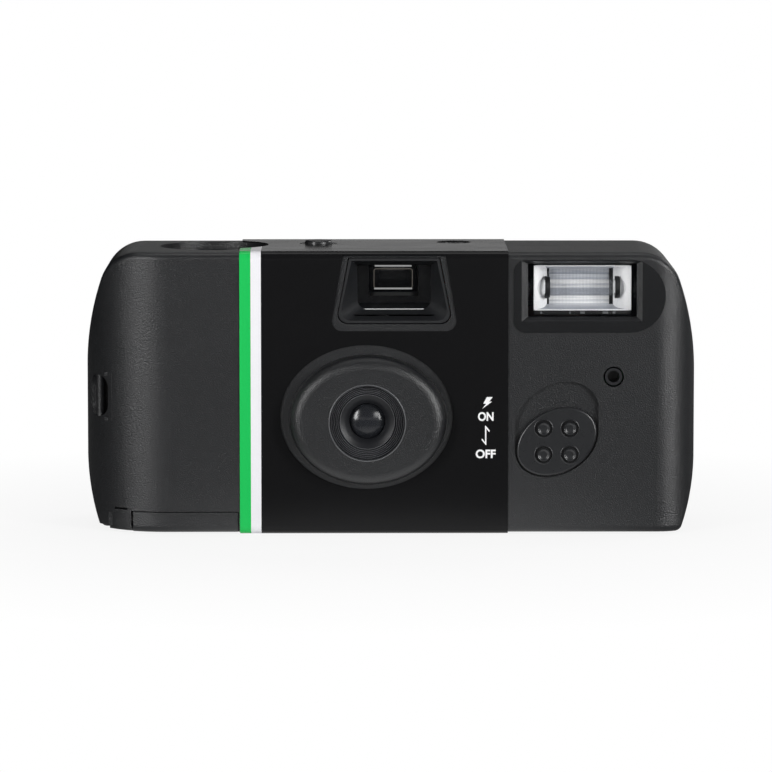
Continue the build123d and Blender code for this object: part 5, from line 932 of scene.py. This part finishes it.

# %% [markdown]
# Four round bumps give the thumb a hold on the knob. Each gets a cap with a soft rim and a
# flat middle, made by turning one profile about the bump's axis: the rim catches the light.
# Round it runs a groove with a black ring laid in it, painted shade for its floor, and a low lip.

# %% Caps on the bumps of the knob
KNOB_X, KNOB_Z, BUMP_SPREAD = 29.95, 16.76, 2.36
KNOB_FACE_Y = -13.5
BUMP_STEPS = 48
CAP = [
    (0, -0.2), (0.6, -0.2), (0.74, -0.22), (0.86, -0.36),
    (1.0, -0.42), (1.13, -0.32), (1.2, -0.1), (1.21, 0.12)]
# This black ring in each groove is painted shade.
GROOVE_SHADE_RING = [(1.23, 0.2), (1.23, 0.03), (1.5, 0.03), (1.5, 0.2)]
LIP = [(1.51, 0.03), (1.55, -0.05), (1.62, -0.08), (1.7, -0.05), (1.78, 0.03)]
bump_front = node_box("flash_switch_knob")[0].y
caps, groove_shades, lips = bmesh.new(), bmesh.new(), bmesh.new()
for side, rise in ((-1, -1), (-1, 1), (1, -1), (1, 1)):
    across, up = KNOB_X + side * BUMP_SPREAD, KNOB_Z + rise * BUMP_SPREAD
    bump, root = (across, bump_front, up), (across, KNOB_FACE_Y, up)
    turned(caps, beside(bump, CAP), bump, BUMP_STEPS, close=False)
    turned(groove_shades, beside(root, GROOVE_SHADE_RING), root, BUMP_STEPS)
    turned(lips, beside(root, LIP), root, BUMP_STEPS)
make_piece("bump_caps", caps, knob_abs, "flash_switch", 60)
make_piece("bump_groove_shade", groove_shades, inner_abs, "flash_switch", 60)
make_piece("bump_lips", lips, knob_abs, "flash_switch", 60)

# %% [markdown]
# Beside the switch the label is printed with what it does: a flash sign, ON, an arrow that
# goes both ways, and OFF. Printed ink has almost no thickness. Letters come from a text object
# that is turned into a mesh, and the two signs are drawn from a few points.

# %% Print on the label
INK_MM, SPREAD_MM = 0.01, 0.15
LETTER_BOLDNESS = 0.032
LABEL_FACE_Y = -13.455
print_white, tree, mm, shader = finish("screen_printed_ink", **{"Roughness": 0.4, "Specular IOR Level": 0.15})
spread = add(tree, "ShaderNodeTexNoise", {"Vector": mm, "Scale": 1 / SPREAD_MM, "Detail": 2.0})
tone = add(tree, "ShaderNodeValToRGB", {
    "Fac": spread.outputs["Fac"]}, stops=((0.3, "#dededf"), (0.7, "#ececec")))
tree.links.new(tone.outputs["Color"], shader.inputs["Base Color"])


def text_mesh(words, boldness):
    """Words as a flat mesh, one unit high."""
    curve = bpy.data.curves.new("words", "FONT")
    curve.body = words
    curve.size = 1
    curve.offset = boldness
    holder = bpy.data.objects.new("words", curve)
    mesh = bpy.data.meshes.new_from_object(holder)
    bpy.data.objects.remove(holder)
    return mesh


def set_in_box(bm, low, high, place):
    """Scales flat artwork to a box, then hands each vertex to its place on the object."""
    x_low, x_high = min(vert.co.x for vert in bm.verts), max(vert.co.x for vert in bm.verts)
    y_low, y_high = min(vert.co.y for vert in bm.verts), max(vert.co.y for vert in bm.verts)
    for vert in bm.verts:
        across = low[0] + (vert.co.x - x_low) / (x_high - x_low) * (high[0] - low[0])
        up = low[1] + (vert.co.y - y_low) / (y_high - y_low) * (high[1] - low[1])
        vert.co = place(across, up, vert.co.z)


def on_label(across, up, out):
    return Vector((across, LABEL_FACE_Y - out, up))


def print_mark(name, artwork, low, high):
    """One printed mark: artwork is a word, or the corners of a sign as shares of its box."""
    bm = bmesh.new()
    if isinstance(artwork, str):
        bm.from_mesh(text_mesh(artwork, LETTER_BOLDNESS))
    else:
        corners = [(across, up, 0) for across, up in artwork]
        bmesh.ops.contextual_create(bm, geom=edges_in(row_of_edges(bm, corners)))
    draw_out(bm, (0, 0, INK_MM))
    set_in_box(bm, low, high, on_label)
    make_piece(name, bm, print_white, "camera")


BOLT = [(0.45, 1.0), (1.0, 1.0), (0.68, 0.62), (0.95, 0.62), (0.0, 0.0), (0.4, 0.44), (0.12, 0.44)]
BOTH_WAYS = [
    (0.42, 1.0), (0.5, 1.0), (1.0, 0.74), (0.93, 0.67), (0.58, 0.85),
    (0.58, 0.0), (0.5, 0.0), (0.0, 0.26), (0.07, 0.33), (0.42, 0.15)]
print_mark("flash_sign", BOLT, (16.51, 22.66), (18.41, 24.82))
print_mark("word_on", "ON", (15.79, 20.49), (18.59, 22.11))
print_mark("arrow_sign", BOTH_WAYS, (16.45, 16.15), (17.91, 19.64))
print_mark("word_off", "OFF", (15.39, 13.74), (18.98, 15.33))

# %% [markdown]
# The dial counts the frames that are left. Its numbers stand in a ring with their tops towards
# the rim, and they ride on the dial, so that they turn with it under the window.

# %% Dial numbers
DIAL_X, DIAL_Y, DIAL_CLEARANCE = -32.05, 3.4, 0.006
NUMBER_COUNT, NUMBER_STEP = 10, 3
NUMBER_RADIUS, NUMBER_HEIGHT, DIGIT_WIDTH = 6.3, 1.5, 0.75
number_low, number_high = NUMBER_RADIUS - NUMBER_HEIGHT / 2, NUMBER_RADIUS + NUMBER_HEIGHT / 2
dial_top = node_box("counter_dial")[1].z
dial_face = Matrix.Translation((DIAL_X, DIAL_Y, dial_top + DIAL_CLEARANCE))


def flat_place(across, up, out):
    return Vector((across, up, out))


bm = bmesh.new()
for place in range(NUMBER_COUNT):
    digits = str(NUMBER_STEP * place)
    half = DIGIT_WIDTH * NUMBER_HEIGHT * len(digits) / 2
    number = bmesh.new()
    number.from_mesh(text_mesh(digits, 0.0))
    set_in_box(number, (-half, number_low), (half, number_high), flat_place)
    turn = Matrix.Rotation(-math.tau * place / NUMBER_COUNT, 4, "Z")
    bmesh.ops.transform(number, matrix=dial_face @ turn, verts=number.verts)
    flat = bpy.data.meshes.new("number")
    number.to_mesh(flat)
    number.free()
    bm.from_mesh(flat)
draw_out(bm, (0, 0, INK_MM))
make_piece("dial_numbers", bm, print_white, "counter")

# %% [markdown]
# The button stands on a coil spring. A coil is a round wire carried round an axis while it climbs, and spin
# does just that when each of its steps is also given a small rise.

# %% Button spring
WIRE_RADIUS, WIRE_SIDES = 0.17, 10
COIL_TURNS, STEPS_PER_TURN = 4, 32
low, high = node_box("button_spring")
coil_middle = (low + high) / 2
coil_radius = (high.x - low.x) / 2 - WIRE_RADIUS
coil_height = high.z - low.z
coil_steps = COIL_TURNS * STEPS_PER_TURN
rise = (coil_height - 2 * WIRE_RADIUS) / coil_steps
wire_start = Matrix.Translation((coil_middle.x + coil_radius, coil_middle.y, low.z + WIRE_RADIUS))
wire_upright = Matrix.Rotation(math.pi / 2, 4, "X")
bm = bmesh.new()
bmesh.ops.create_circle(
    bm, cap_ends=True, radius=WIRE_RADIUS, segments=WIRE_SIDES, matrix=wire_start @ wire_upright)
bmesh.ops.spin(
    bm, geom=bm.verts[:] + bm.edges[:] + bm.faces[:], cent=coil_middle, axis=(0, 0, 1),
    dvec=(0, 0, rise), angle=math.tau * COIL_TURNS, steps=coil_steps, use_merge=False)
button_coil = make_piece("button_coil", bm, steel, "camera", 60)
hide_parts("button_spring")
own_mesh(button_coil)
